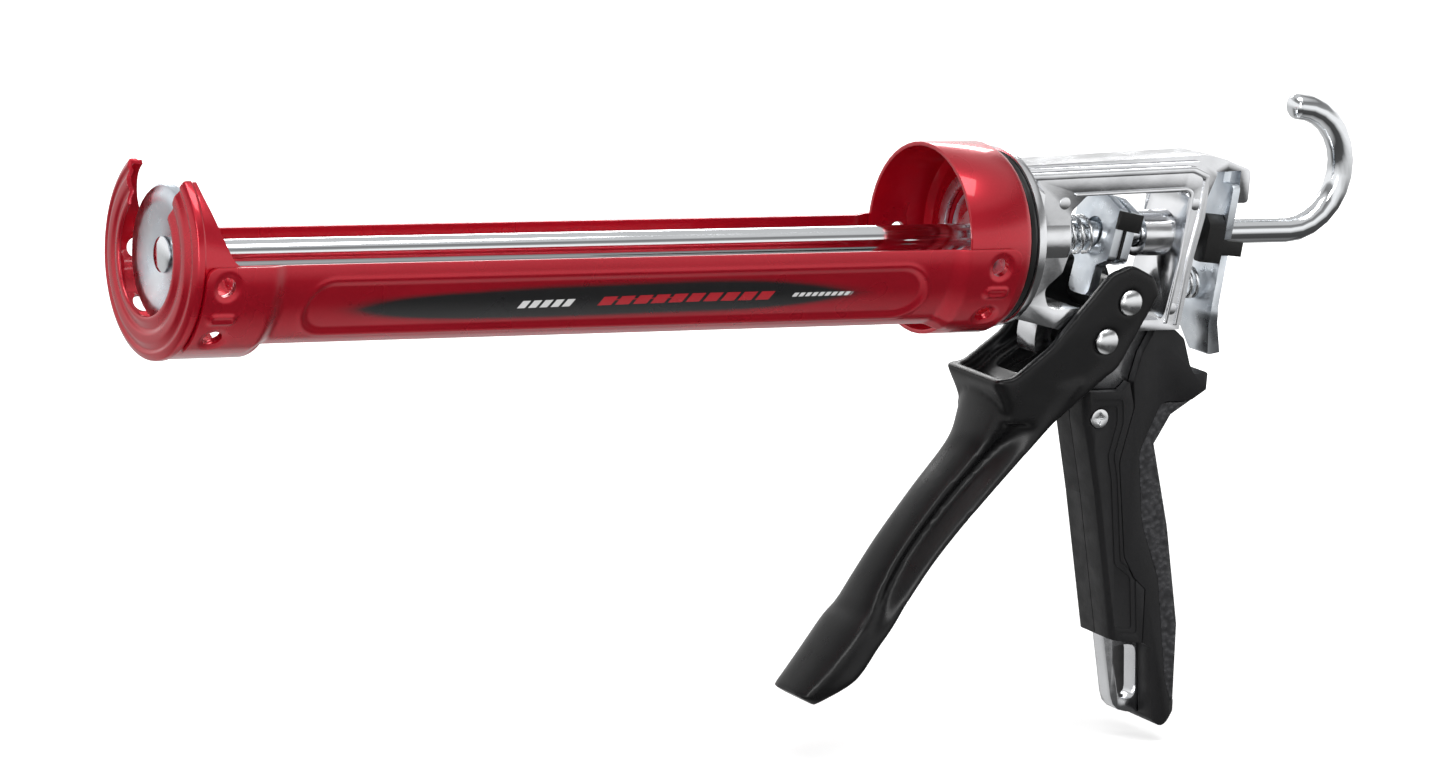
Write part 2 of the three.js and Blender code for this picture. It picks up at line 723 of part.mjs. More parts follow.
/** A drive plate between two x values before it leans, with a finger or cut short. */
function drivePlate(xLow, xHigh, withFinger) {
  const shoulder = -6.6;
  const foot = withFinger
    ? [
      [FINGER_HALF, shoulder - 2.6, 1.5],
      [FINGER_HALF, FINGER_END, 3],
      [-FINGER_HALF, FINGER_END, 3],
      [-FINGER_HALF, shoulder - 2.6, 1.5],
    ]
    : [
      [FINGER_HALF, shoulder - 1.6],
      [-FINGER_HALF, shoulder - 1.6],
    ];
  const face = rounded([
    [-PLATE_HALF, shoulder, 2],
    [-PLATE_HALF, PLATE_SHOULDER, 1],
    [-2.4, PLATE_TOP, 1],
    [2.4, PLATE_TOP, 1],
    [PLATE_HALF, PLATE_SHOULDER, 1],
    [PLATE_HALF, shoulder, 2],
    ...foot,
  ]);
  const plate = frontPlate(face, xLow, xHigh);
  const bore = cylinderX(ROD_RADIUS + 0.8, xLow - 1, xHigh + 1);
  return leaned(plate.subtract(bore), PLATE_LEAN, PLATE_MIDDLE, 0);
}

/** The black spacer between the drive plates, with its clip on their near edges. */
function plateClip() {
  const half = PLATE_SPACING / 2 - 0.2;
  const sheet = frontPlate(outline([
    [-PLATE_HALF - 0.5, -6],
    [-PLATE_HALF - 0.5, 8.4],
    [-4, 8.4],
    [-4, -6],
  ]), PLATE_MIDDLE - half, PLATE_MIDDLE + half);
  const reach = PLATE_THICKNESS + PLATE_SPACING / 2 + 0.6;
  const [front, back] = [PLATE_MIDDLE - reach, PLATE_MIDDLE + reach];
  const head = box(front, back, -PLATE_HALF - 1.8, -PLATE_HALF - GAP, 3, 8.6);
  const bore = cylinderX(ROD_RADIUS + 0.8, PLATE_MIDDLE - 3, PLATE_MIDDLE + 3);
  return leaned(sheet.add(head).subtract(bore), PLATE_LEAN, PLATE_MIDDLE, 0);
}

// ---------- brake plate ----------

/** Where the brake plate's front face is at a height, on its straight part. */
function brakeFace(z) {
  return BRAKE_X + z * Math.tan(THREE.MathUtils.degToRad(BRAKE_LEAN));
}

const TAB_BEND_Z = -24;
const TAB_END_Z = -37.6;
const DRIP_TOP = -0.9;
const DRIP_BOTTOM = -5.4;

function brakePlate() {
  const width = BRAKE_THICKNESS;
  const top = HOOD_UNDERSIDE - GAP;
  const side = rounded([
    [brakeFace(top), top],
    [brakeFace(top) + width, top],
    [brakeFace(TAB_BEND_Z) + width, TAB_BEND_Z, 14],
    [brakeFace(TAB_BEND_Z) + width + 6, TAB_END_Z + 0.8],
    [brakeFace(TAB_BEND_Z) + 4.4, TAB_END_Z, 1],
    [brakeFace(TAB_BEND_Z), TAB_BEND_Z - 1, 14],
  ]);
  const face = rounded([
    [-NECK_HALF, top + 1],
    [NECK_HALF, top + 1],
    [NECK_HALF, BRAKE_TOP],
    [BRAKE_HALF, BRAKE_TOP, 2],
    [BRAKE_HALF, -24, 6],
    [4.5, TAB_END_Z - 1, 3],
    [-4.5, TAB_END_Z - 1, 3],
    [-BRAKE_HALF, -24, 6],
    [-BRAKE_HALF, BRAKE_TOP, 2],
    [-NECK_HALF, BRAKE_TOP],
  ]);
  let plate = sidePlate(side, -BRAKE_HALF, BRAKE_HALF, 6).intersect(frontPlate(face, 90, 125));
  plate = plate.subtract(cylinderX(ROD_RADIUS + 1, 95, 115));
  const notch = box(95, 115, -BRAKE_HALF - 1, -BRAKE_HALF + 3.6, DRIP_BOTTOM - GAP, DRIP_TOP + GAP);
  return plate.subtract(notch);
}

/** The black drip switch ahead of the brake plate, its tab through the plate's near edge. */
function dripSwitch() {
  const rear = -GAP;
  const front = rear - 6.2;
  const body = frontPlate(rounded([
    [-BRAKE_HALF - 0.6, 3.4, 2],
    [-BRAKE_HALF - 0.6, -8.4, 2],
    [-5.2, -8.4, 1],
    [-5.2, 6.4, 1],
    [-7.6, 6.4, 1],
  ]), front, rear);
  const [near, far] = [-BRAKE_HALF - 0.4, -BRAKE_HALF + 3.2];
  const tab = box(rear - 2, BRAKE_THICKNESS + 4.6, near, far, DRIP_BOTTOM, DRIP_TOP);
  return leaned(body.add(tab), BRAKE_LEAN, 0, 0).translate(BRAKE_X, 0, 0);
}

// ---------- trigger ----------

const TRIGGER_OUTLINE = [
  [21.6, -41.2, 2],
  [29, -40.6, 5],
  [41, -32, 12],
  [61, -9.6, 5],
  [68.3, -7, 4],
  [76.2, -10.6, 3],
  [79, -15.6, 2],
  [66.5, -38.2, 10],
  [33.4, -64.4, 20],
  [6.4, -95.2],
  [-4.8, -114.6, 12],
  [-14.8, -127, 10],
  [-26, -140.4, 5],
  [-33.4, -135.6, 2],
  [-26.8, -124.4, 6],
  [-15.2, -113.2, 1],
  [-12.2, -111],
  [-2, -92, 8],
  [25, -60.4, 9],
  [27.6, -50.5, 6],
];

const CHANNEL_OUTLINE = [
  [31.5, -53],
  [33.5, -47.5],
  [43, -41.5],
  [51.5, -38],
  [72, -38],
  [72, -60],
  [40, -75],
  [4, -112],
  [-6, -122],
  [-3, -108],
  [8, -88],
  [27.5, -65],
];

/** Everything behind the lever's front face, for rounding that face over. */
const FRONT_ROUNDING = [
  [20.8, 20],
  [20.8, -40],
  [27.4, -52],
  [24.6, -61],
  [-2.4, -92.4],
  [-12.6, -111],
  [-60, -105],
  [-60, -160],
  [110, -160],
  [110, 20],
];

/** The lever seen from the front, with its tip's corners cut. */
const TIP_OUTLINE = [
  [16, 10],
  [16, -120],
  [12.2, -131],
  [5.5, -142],
  [-5.5, -142],
  [-12.2, -131],
  [-16, -120],
  [-16, 10],
];

/** How wide the trigger is at a height: full over its arms, narrower down the lever. */
function leverWidth(z) {
  const t = THREE.MathUtils.smoothstep(-z, 44, 84);
  return THREE.MathUtils.lerp(1, LEVER_HALF / ARM_OUTSIDE, t);
}

function tapered(body) {
  const geometry = geometryOf(body);
  const position = geometry.attributes.position;
  for (let i = 0; i < position.count; i += 1) {
    position.setY(i, position.getY(i) * leverWidth(position.getZ(i)));
  }
  return solid(geometry);
}

function triggerLever() {
  let lever = sidePlate(rounded(TRIGGER_OUTLINE), -ARM_OUTSIDE, ARM_OUTSIDE, 4);
  const trough = sidePlate(rounded([
    [26, -36],
    [26, -44, 3],
    [32, -43.6, 4],
    [38, -38.4, 4],
    [47, -33],
    [51, -32.6],
    [51, -46],
    [90, -46],
    [90, 4],
    [26, 4],
  ]), -ARM_INSIDE, ARM_INSIDE, 4);
  const channel = sidePlate(rounded(CHANNEL_OUTLINE), -ARM_INSIDE, ARM_INSIDE);
  lever = tapered(lever.subtract(trough).subtract(channel));
  lever = lever.subtract(box(35.6, 56, -5.8, 5.8, -50, -20));
  lever = lever.intersect(cushioned(FRONT_ROUNDING, ARM_OUTSIDE, 3, 5));
  lever = lever.intersect(frontPlate(outline(TIP_OUTLINE), -60, 110));
  for (const pin of [PIVOT, DRIVE]) {
    lever = lever.subtract(cylinderY(PIN_RADIUS + GAP, -20, 20, pin.x, pin.z));
  }
  return lever;
}

/** A riveted pin along Y with a domed head at each end. */
function headedPin(x, z) {
  const seat = ARM_OUTSIDE + GAP;
  const rise = PIN_DOME;
  const points = [
    [-seat - rise, 0],
    [-seat - rise * 0.85, PIN_HEAD * 0.5],
    [-seat - rise * 0.5, PIN_HEAD * 0.85],
    [-seat, PIN_HEAD],
    [-seat, PIN_RADIUS],
    [seat, PIN_RADIUS],
    [seat, PIN_HEAD],
    [seat + rise * 0.5, PIN_HEAD * 0.85],
    [seat + rise * 0.85, PIN_HEAD * 0.5],
    [seat + rise, 0],
  ];
  const geometry = new THREE.LatheGeometry(points.map(([y, r]) => new THREE.Vector2(r, y)), 18);
  geometry.translate(x, 0, z);
  return solid(geometry);
}

function driveRoller() {
  const half = ARM_INSIDE - GAP;
  const roller = cylinderY(ROLLER_RADIUS, -half, half, DRIVE.x, DRIVE.z, 28);
  return roller.subtract(cylinderY(PIN_RADIUS + GAP, -half - 1, half + 1, DRIVE.x, DRIVE.z));
}

// ---------- grip ----------

const COVER_EDGE = [
  [74, -44],
  [76.4, -51.7, 6],
  [72.8, -68.6, 8],
  [78, -98.4, 4],
  [82.6, -105.4, 3],
  [87, -109],
  [88, -126],
];

const COVER_OUTLINE = [
  [58.6, GRIP_TOP - GAP, 1.5],
  [71.4, GRIP_TOP - GAP, 2],
  ...COVER_EDGE,
  [77.4, -124.8],
  [66.8, -80, 20],
  [60.4, -57, 10],
];

const PAD_BOUNDARY = [
  [99.2, -50.4],
  [86.4, -50.3, 4],
  [79.8, -66, 10],
  [83.4, -88, 12],
  [91.6, -106, 10],
  [97.8, -138],
  [101, -145.2],
];

const PAD_BACK = [
  [102.8, -145.4],
  [101.8, -120, 20],
  [94.9, -89, 14],
  [87, -64, 8],
  [92.5, -55, 3],
];

const SPINE_OUTLINE = [
  [75.6, -44, 1],
  [77.8, -35],
  [82, -27.3, 2],
  [88, -27.4, 3],
  [92.6, -31, 3],
  [95.6, -39, 4],
  [97.5, -42.4, 2],
  [102, -41.3, 2],
  [104.4, -43.6, 2],
  [104, -47.4, 2],
  [92.5, -55, 3],
  [87, -64, 8],
  [94.9, -89, 14],
  [101.8, -120, 20],
  [103.4, -147, 2],
  [98.6, -153.6, 4],
  [94.4, -150.6, 2],
  [93.2, -142],
  [91.4, -127.6],
];

/** The whole grip, for rounding its edges over. */
const GRIP_BODY = [
  [58.4, -20],
  [58.4, -46],
  [60.4, -58],
  [66.6, -81],
  [77.2, -125],
  [86, -156],
  [104.6, -155],
  [102.6, -121],
  [95.4, -90],
  [87.4, -64],
  [92.4, -55.4],
  [104.8, -48],
  [104.8, -20],
];
const GRIP_ROUNDING = 3.4; // how far its edges draw in
const GRIP_ROUNDING_REACH = 4.6; // over this much of its width

function gripBody(half) {
  return cushioned(GRIP_BODY, half, GRIP_ROUNDING, GRIP_ROUNDING_REACH);
}

/** The cover's rear edge moved back by the gap, as the spine's front edge. */
const SPINE_FRONT = COVER_EDGE.slice(1).reverse().map(([x, z, radius]) => [x + GAP + 0.1, z, radius]);

/** An outline grown by the gap for a pocket: a stack of shifted copies joined. */
function pocket(points, half) {
  let grown = null;
  for (const [dx, dz] of [[GAP, GAP], [GAP, -GAP], [-GAP, GAP], [-GAP, -GAP]]) {
    const copy = sidePlate(rounded(points), -half - GAP, half + GAP).translate(dx, 0, dz);
    grown = grown ? grown.add(copy) : copy;
  }
  return grown;
}

function gripSpine() {
  let spine = sidePlate(rounded([...SPINE_OUTLINE, ...SPINE_FRONT]), -GRIP_HALF, GRIP_HALF, 4);
  const padSpace = sidePlate(rounded([...PAD_BOUNDARY, ...padBackMoved(8)]), -20, 20, 4);
  const core = aheadOfPad(PAD_DEPTH + GAP, PAD_CORE);
  spine = spine.intersect(gripBody(GRIP_HALF)).subtract(padSpace.subtract(core));
  spine = spine.subtract(pocket(CORE_OUTLINE, CORE_HALF));
  spine = spine.subtract(pocket(BLOCK_FOOT, FRAME_HALF));
  return spine.subtract(pocket(TANG_OUTLINE, TANG_HALF));
}

const BLOCK_FOOT = [
  [70, -20],
  [93, -20],
  [PILLAR_FOOT.x + 0.4, PILLAR_FOOT.z],
  [70, PILLAR_FOOT.z],
];

/** The pad's back outline moved along x. */
function padBackMoved(distance) {
  return PAD_BACK.map(([x, z, radius]) => [x + distance, z, radius]);
}

/** Everything ahead of the pad's back less a depth of rubber. */
function aheadOfPad(depth, half) {
  const back = rounded([[60, -50], [60, -146], ...padBackMoved(-depth)]);
  return sidePlate(back, -half, half, 4);
}

function gripPad() {
  const inset = 0.25;
  const boundary = PAD_BOUNDARY.map(([x, z, radius]) => [x + GAP, z, radius]);
  const whole = sidePlate(rounded([...boundary, ...PAD_BACK]), -GRIP_HALF + inset, GRIP_HALF - inset, 4);
  const space = box(70, 120, -40, 40, -145, -50.8);
  const core = aheadOfPad(PAD_DEPTH, PAD_CORE + GAP);
  const pad = whole.intersect(space).intersect(gripBody(GRIP_HALF - inset));
  return pad.subtract(core).subtract(pocket(TANG_OUTLINE, TANG_HALF));
}

function gripCover(side) {
  const low = side < 0 ? -GRIP_HALF : GAP / 2;
  const high = side < 0 ? -GAP / 2 : GRIP_HALF;
  let cover = sidePlate(rounded(COVER_OUTLINE), low, high, 4).intersect(gripBody(GRIP_HALF));
  cover = cover.subtract(pocket(TANG_OUTLINE, TANG_HALF)).subtract(pocket(CORE_OUTLINE, CORE_HALF));
  const { x, z } = GRIP_SCREW;
  cover = cover.subtract(cylinderY(SCREW_SHANK + GAP, -20, 20, x, z, 16));
  if (side < 0) return cover.subtract(cylinderY(GRIP_SCREW_HEAD + GAP, -20, -GRIP_HALF + 1.8, x, z));
  return cover.subtract(cylinderY(NUT_RADIUS + GAP, GRIP_HALF - 3, 20, x, z));
}

function gripScrew() {
  const { x, z } = GRIP_SCREW;
  const seat = -GRIP_HALF + 1.8 - GAP;
  const head = cylinderY(GRIP_SCREW_HEAD, seat - 1.2, seat, x, z);
  const shank = cylinderY(SCREW_SHANK, seat - 0.5, GRIP_HALF - 0.6, x, z, 16);
  const crossA = box(x - 1.7, x + 1.7, seat - 2, seat - 0.6, z - 0.35, z + 0.35);
  const crossB = box(x - 0.35, x + 0.35, seat - 2, seat - 0.6, z - 1.7, z + 1.7);
  return head.add(shank).subtract(crossA).subtract(crossB);
}

function gripNut() {
  const { x, z } = GRIP_SCREW;
  const low = GRIP_HALF - 3 + GAP;
  const nut = cylinderY(NUT_RADIUS, low, low + 2.4, x, z, 6);
  return nut.subtract(cylinderY(SCREW_SHANK + 0.2, low - 1, low + 4, x, z, 16));
}

// ---------- the assembly ----------

const { left, right } = rails();
add("front_cup", frontCup(), ...RED);
add("rail_left", left, ...RED);
add("rail_right", right, ...RED);
add("rear_ring", rearRing(), ...RED);

add("swivel_washer", turned([
  [WASHER_FRONT, FLOOR_BORE],
  [WASHER_FRONT, WASHER_RADIUS],
  [WASHER_FRONT + WASHER_THICKNESS, WASHER_RADIUS],
  [WASHER_FRONT + WASHER_THICKNESS, FLOOR_BORE],
]), ...BLACK);
add("swivel_retainer", swivelRetainer(), ...ZINC);
for (let i = 0; i < RETAINER_SCREWS; i += 1) {
  add("retainer_screw_" + (i + 1), retainerScrew(90 + (360 / RETAINER_SCREWS) * i), ...ZINC);
}

add("push_rod", pushRod(), ...CHROME);
add("piston_plate", pistonPlate(), ...ZINC);
add("piston_backing_washer", pistonBacking(), ...ZINC);

add("frame_casting", frameCasting(), ...ALUMINIUM);

const plateFront = PLATE_FRONT_X;
const plateRear = plateFront + PLATE_THICKNESS + PLATE_SPACING;
add("drive_plate_front", drivePlate(plateFront, plateFront + PLATE_THICKNESS, true), ...ZINC);
add("drive_plate_rear", drivePlate(plateRear, plateRear + PLATE_THICKNESS, false), ...ZINC);
add("drive_plate_clip", plateClip(), ...BLACK);
add("drive_spring", coilSpring({
  outerRadius: DRIVE_SPRING_RADIUS,
  wire: DRIVE_SPRING_WIRE,
  turns: DRIVE_SPRING_TURNS,
  start: SPRING_SEAT_X + GAP,
  end: PLATE_FRONT_X - DRIVE_SPRING_RADIUS * Math.sin(THREE.MathUtils.degToRad(PLATE_LEAN)) - GAP,
}), ...CHROME);

add("trigger", triggerLever(), ...BLACK);
add("pivot_pin", headedPin(PIVOT.x, PIVOT.z), ...CHROME);
add("drive_pin", headedPin(DRIVE.x, DRIVE.z), ...CHROME);
add("drive_roller", driveRoller(), ...BLACK);

add("brake_plate", brakePlate(), ...ZINC);
add("brake_spring", coilSpring({
  outerRadius: BRAKE_SPRING_RADIUS,
  wire: BRAKE_SPRING_WIRE,
  turns: BRAKE_SPRING_TURNS,
  start: BRAKE_POCKET_X + GAP,
  end: brakeFace(BRAKE_SPRING_Z - BRAKE_SPRING_RADIUS) - GAP,
  z: BRAKE_SPRING_Z,
}), ...CHROME);
add("drip_switch", dripSwitch(), ...BLACK);

add("grip_cover_left", gripCover(-1), ...BLACK);
add("grip_cover_right", gripCover(1), ...BLACK);
add("grip_spine", gripSpine(), ...BLACK);
add("grip_pad", gripPad(), ...RUBBER);
add("grip_screw", gripScrew(), ...ZINC);
add("grip_nut", gripNut(), ...ZINC);

export default parts;
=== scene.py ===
import json
import math

import bmesh
import bpy
from mathutils import Matrix, Vector


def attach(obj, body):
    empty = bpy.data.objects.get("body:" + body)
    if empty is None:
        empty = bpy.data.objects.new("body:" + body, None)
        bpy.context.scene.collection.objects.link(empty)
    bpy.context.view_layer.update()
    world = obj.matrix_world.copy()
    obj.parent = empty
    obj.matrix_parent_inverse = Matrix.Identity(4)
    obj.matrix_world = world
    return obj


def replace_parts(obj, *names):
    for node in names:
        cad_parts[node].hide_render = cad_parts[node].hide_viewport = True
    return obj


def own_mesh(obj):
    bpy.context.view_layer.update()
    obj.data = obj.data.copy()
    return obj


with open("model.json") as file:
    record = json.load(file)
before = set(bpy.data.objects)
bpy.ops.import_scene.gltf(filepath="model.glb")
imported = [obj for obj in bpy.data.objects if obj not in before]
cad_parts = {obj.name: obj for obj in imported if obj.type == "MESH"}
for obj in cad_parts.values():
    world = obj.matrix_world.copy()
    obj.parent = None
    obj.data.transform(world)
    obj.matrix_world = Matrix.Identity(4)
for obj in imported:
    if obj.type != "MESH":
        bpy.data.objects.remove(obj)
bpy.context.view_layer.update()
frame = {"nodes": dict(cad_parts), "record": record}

# ---------- places, in metres ----------
# The rod's axis is the x axis. RING is where the barrel's rear ring starts.
MM = 0.001
RING = 0.2493
NODES = frame["nodes"]
FLOOR = -0.158
# The rails' outer radius and the barrel's sheet, in mm.
RAIL = 27.8
SHEET = 1.2
# The camera: where it looks from, in degrees, what it looks at and from how far, in metres.
AZIMUTH, ELEVATION, ROLL = 31.981, 11.258, 4.85
LOOKED_AT = (0.18527, 0, -0.04318)
DISTANCE = 1.78398
LENS = 152.35
UNDER_GUN = (0.18, 0, FLOOR)
# How bright the studio looks in a shiny surface, from straight below (0) to straight above (1).
STUDIO_BANDS = [
    (0.0, 0.6), (0.06, 0.4), (0.14, 0.06), (0.33, 0.08), (0.40, 0.55), (0.5, 1.0), (0.62, 1.0),
    (0.68, 0.3), (0.78, 0.2), (0.84, 0.62), (1.0, 0.6),
]


# ---------- camera, stage and lights ----------

def make_camera():
    azimuth, elevation, roll = (math.radians(v) for v in (AZIMUTH, ELEVATION, ROLL))
    back = Vector((
        -math.sin(azimuth) * math.cos(elevation),
        -math.cos(azimuth) * math.cos(elevation),
        math.sin(elevation),
    ))
    right = Vector((math.cos(azimuth), -math.sin(azimuth), 0))
    up = back.cross(right)
    across = right * math.cos(roll) + up * math.sin(roll)
    above = up * math.cos(roll) - right * math.sin(roll)
    camera = bpy.data.objects.new("camera", bpy.data.cameras.new("camera"))
    turn = Matrix((across, above, back)).transposed().to_4x4()
    camera.matrix_world = Matrix.Translation(Vector(LOOKED_AT) + back * DISTANCE) @ turn
    camera.data.lens = LENS
    camera.data.sensor_width = 36
    camera.data.clip_end = 50
    bpy.context.collection.objects.link(camera)
    bpy.context.scene.camera = camera


class Value:
    """A shader socket that can be used in arithmetic."""

    def __init__(self, nodes, socket):
        self.nodes = nodes
        self.socket = socket

    def _join(self, operation, first, second):
        return self.nodes.make("ShaderNodeMath", {"operation": operation}, {0: first, 1: second})

    def __add__(self, other):
        return self._join("ADD", self, other)

    def __sub__(self, other):
        return self._join("SUBTRACT", self, other)

    def __rsub__(self, other):
        return self._join("SUBTRACT", other, self)

    def __mul__(self, other):
        return self._join("MULTIPLY", self, other)

    def above(self, level):
        return self._join("GREATER_THAN", self, level)

    def below(self, level):
        return self._join("LESS_THAN", self, level)

    def most(self, other):
        return self._join("MAXIMUM", self, other)

    def size(self):
        return self.nodes.make("ShaderNodeMath", {"operation": "ABSOLUTE"}, {0: self})

    def fraction(self):
        return self.nodes.make("ShaderNodeMath", {"operation": "FRACT"}, {0: self})

    def turn_from(self, other):
        """The angle whose tangent is this over the other, in radians."""
        return self._join("ARCTAN2", self, other)


class Finish:
    """A material and the nodes it is made of."""

    def __init__(self, name):
        self.material = bpy.data.materials.new(name)
        self.material.use_nodes = True
        self.tree = self.material.node_tree
        self.tree.nodes.clear()
        self.place = self.make("ShaderNodeTexCoord", {}, {}, "Object")

    @classmethod
    def for_tree(cls, tree):
        """The same helper for a tree that isn't a finish."""
        finish = cls.__new__(cls)
        finish.tree = tree
        finish.place = finish.make("ShaderNodeTexCoord", {}, {}, "Object")
        return finish

    def make(self, kind, settings, inputs, output=0):
        node = self.tree.nodes.new(kind)
        for key, value in settings.items():
            if key == "stops":
                ramp = node.color_ramp
                while len(ramp.elements) < len(value):
                    ramp.elements.new(0.5)
                for element, (position, colour) in zip(ramp.elements, value):
                    element.position = position
                    element.color = (*colour, 1) if len(colour) == 3 else colour
            else:
                setattr(node, key, value)
        for key, value in inputs.items():
            if isinstance(value, Value):
                self.tree.links.new(value.socket, node.inputs[key])
            else:
                node.inputs[key].default_value = value
        return Value(self, node.outputs[output])

    def noise(self, scale, detail, stretch=(1, 1, 1)):
        spot = self.make("ShaderNodeMapping", {}, {"Vector": self.place, "Scale": stretch})
        return self.make(
            "ShaderNodeTexNoise", {}, {"Vector": spot, "Scale": scale, "Detail": detail, "Roughness": 0.5},
        )

    def cells(self, scale, feature="F1"):
        return self.make("ShaderNodeTexVoronoi", {"feature": feature}, {"Vector": self.place, "Scale": scale})

    def spread(self, value, low, high, to_low=0.0, to_high=1.0):
        return self.make(
            "ShaderNodeMapRange", {"interpolation_type": "SMOOTHSTEP"},
            {0: value, 1: low, 2: high, 3: to_low, 4: to_high},
        )

    def mix(self, share, first, second):
        colour = [(*c, 1) if isinstance(c, tuple) else c for c in (first, second)]
        return self.make("ShaderNodeMix", {"data_type": "RGBA"}, {0: share, 6: colour[0], 7: colour[1]}, 2)

    def split(self):
        node = self.tree.nodes.new("ShaderNodeSeparateXYZ")
        self.tree.links.new(self.place.socket, node.inputs[0])
        return [Value(self, node.outputs[i]) for i in range(3)]

    def bump(self, height, depth, strength):
        return self.make(
            "ShaderNodeBump", {}, {"Height": height, "Distance": depth, "Strength": strength},
        )

    def surface(self, **sockets):
        inputs = {name.replace("_", " "): value for name, value in sockets.items()}
        self.end(self.make("ShaderNodeBsdfPrincipled", {}, inputs), "ShaderNodeOutputMaterial")
        return self.material

    def end(self, shader, kind):
        """Joins a shader to the tree's output, which is of the kind given."""
        out = self.tree.nodes.new(kind)
        self.tree.links.new(shader.socket, out.inputs["Surface"])


def nodes_of(owner):
    """A maker of nodes in an owner's own tree, which starts empty."""
    owner.use_nodes = True
    owner.node_tree.nodes.clear()
    return Finish.for_tree(owner.node_tree)


def make_stage():
    """A pale floor, white to the camera away from the gun's shadow."""
    form = bmesh.new()
    bmesh.ops.create_grid(form, x_segments=1, y_segments=1, size=6)
    bmesh.ops.translate(form, verts=form.verts, vec=UNDER_GUN)
    mesh = bpy.data.meshes.new("floor")
    form.to_mesh(mesh)
    form.free()
    floor = bpy.data.objects.new("floor", mesh)
    bpy.context.collection.objects.link(floor)
    pale = bpy.data.materials.new("pale_floor")
    tree = nodes_of(pale)
    to_camera = tree.make("ShaderNodeLightPath", {}, {}, "Is Camera Ray")
    to_gloss = tree.make("ShaderNodeLightPath", {}, {}, "Is Glossy Ray")
    place = tree.make("ShaderNodeVectorMath", {"operation": "SUBTRACT"}, {0: tree.place, 1: UNDER_GUN})
    far = tree.make("ShaderNodeVectorMath", {"operation": "LENGTH"}, {0: place}, "Value")
    glow = tree.make("ShaderNodeEmission", {}, {
        "Color": (1, 1, 1, 1), "Strength": tree.spread(far, 0.35, 0.9, 0.5, 1) * to_camera,
    })
    paint = tree.make("ShaderNodeBsdfDiffuse", {}, {"Color": (0.85, 0.85, 0.85, 1)})
    both = tree.make("ShaderNodeAddShader", {}, {0: paint, 1: glow})
    clear = tree.make("ShaderNodeBsdfTransparent", {}, {})
    shown = tree.make("ShaderNodeMixShader", {}, {0: to_gloss, 1: both, 2: clear})
    tree.end(shown, "ShaderNodeOutputMaterial")
    mesh.materials.append(pale)


def make_world():
    """White to the camera, a studio of pale and dark bands to shiny things, and a dim fill."""
    world = bpy.data.worlds.new("studio")
    tree = nodes_of(world)
    to_camera = tree.make("ShaderNodeLightPath", {}, {}, "Is Camera Ray")
    to_gloss = tree.make("ShaderNodeLightPath", {}, {}, "Is Glossy Ray")
    looking = tree.make("ShaderNodeTexCoord", {}, {})
    height = tree.make("ShaderNodeSeparateXYZ", {}, {0: looking}, 2)
    behind = tree.make("ShaderNodeSeparateXYZ", {}, {0: looking}, 1)
    bands = tree.make("ShaderNodeValToRGB", {"stops": [
        (place, (tone, tone, tone)) for place, tone in STUDIO_BANDS
    ]}, {0: height * 0.5 + 0.5})
    studio = tree.make("ShaderNodeBackground", {}, {
        "Color": (1, 1, 1, 1), "Strength": bands.most(tree.spread(behind, 0.2, 0.75, 0, 0.6)),
    })
    fill = tree.make("ShaderNodeBackground", {}, {"Color": (1, 1, 1, 1), "Strength": 0.3})
    seen = tree.make("ShaderNodeBackground", {}, {"Color": (1, 1, 1, 1), "Strength": 1})
    lit = tree.make("ShaderNodeMixShader", {}, {0: to_gloss, 1: fill, 2: studio})
    shown = tree.make("ShaderNodeMixShader", {}, {0: to_camera, 1: lit, 2: seen})
    tree.end(shown, "ShaderNodeOutputWorld")
    bpy.context.scene.world = world


def make_lamp(name, place, aim, size, power):
    lamp = bpy.data.lights.new(name, "AREA")
    lamp.shape = "RECTANGLE"
    lamp.size, lamp.size_y = size
    lamp.energy = power
    holder = bpy.data.objects.new(name, lamp)
    holder.location = place
    holder.rotation_euler = (Vector(place) - Vector(aim)).to_track_quat("Z", "Y").to_euler()
    bpy.context.collection.objects.link(holder)


def make_lights():
    make_world()
    middle = (0.18, 0, -0.03)
    make_lamp("top_softbox", (0.1, -0.25, 1.1), middle, (1.3, 0.5), 9)
    make_lamp("near_softbox", (-0.6, -1.2, 0.55), middle, (0.5, 1.0), 8)
    make_lamp("back_strip", (0.6, 1.1, 0.6), middle, (1.2, 0.25), 7)


# ---------- finishes ----------

PAINT_METAL = 0.56  # how far the red paint is metal


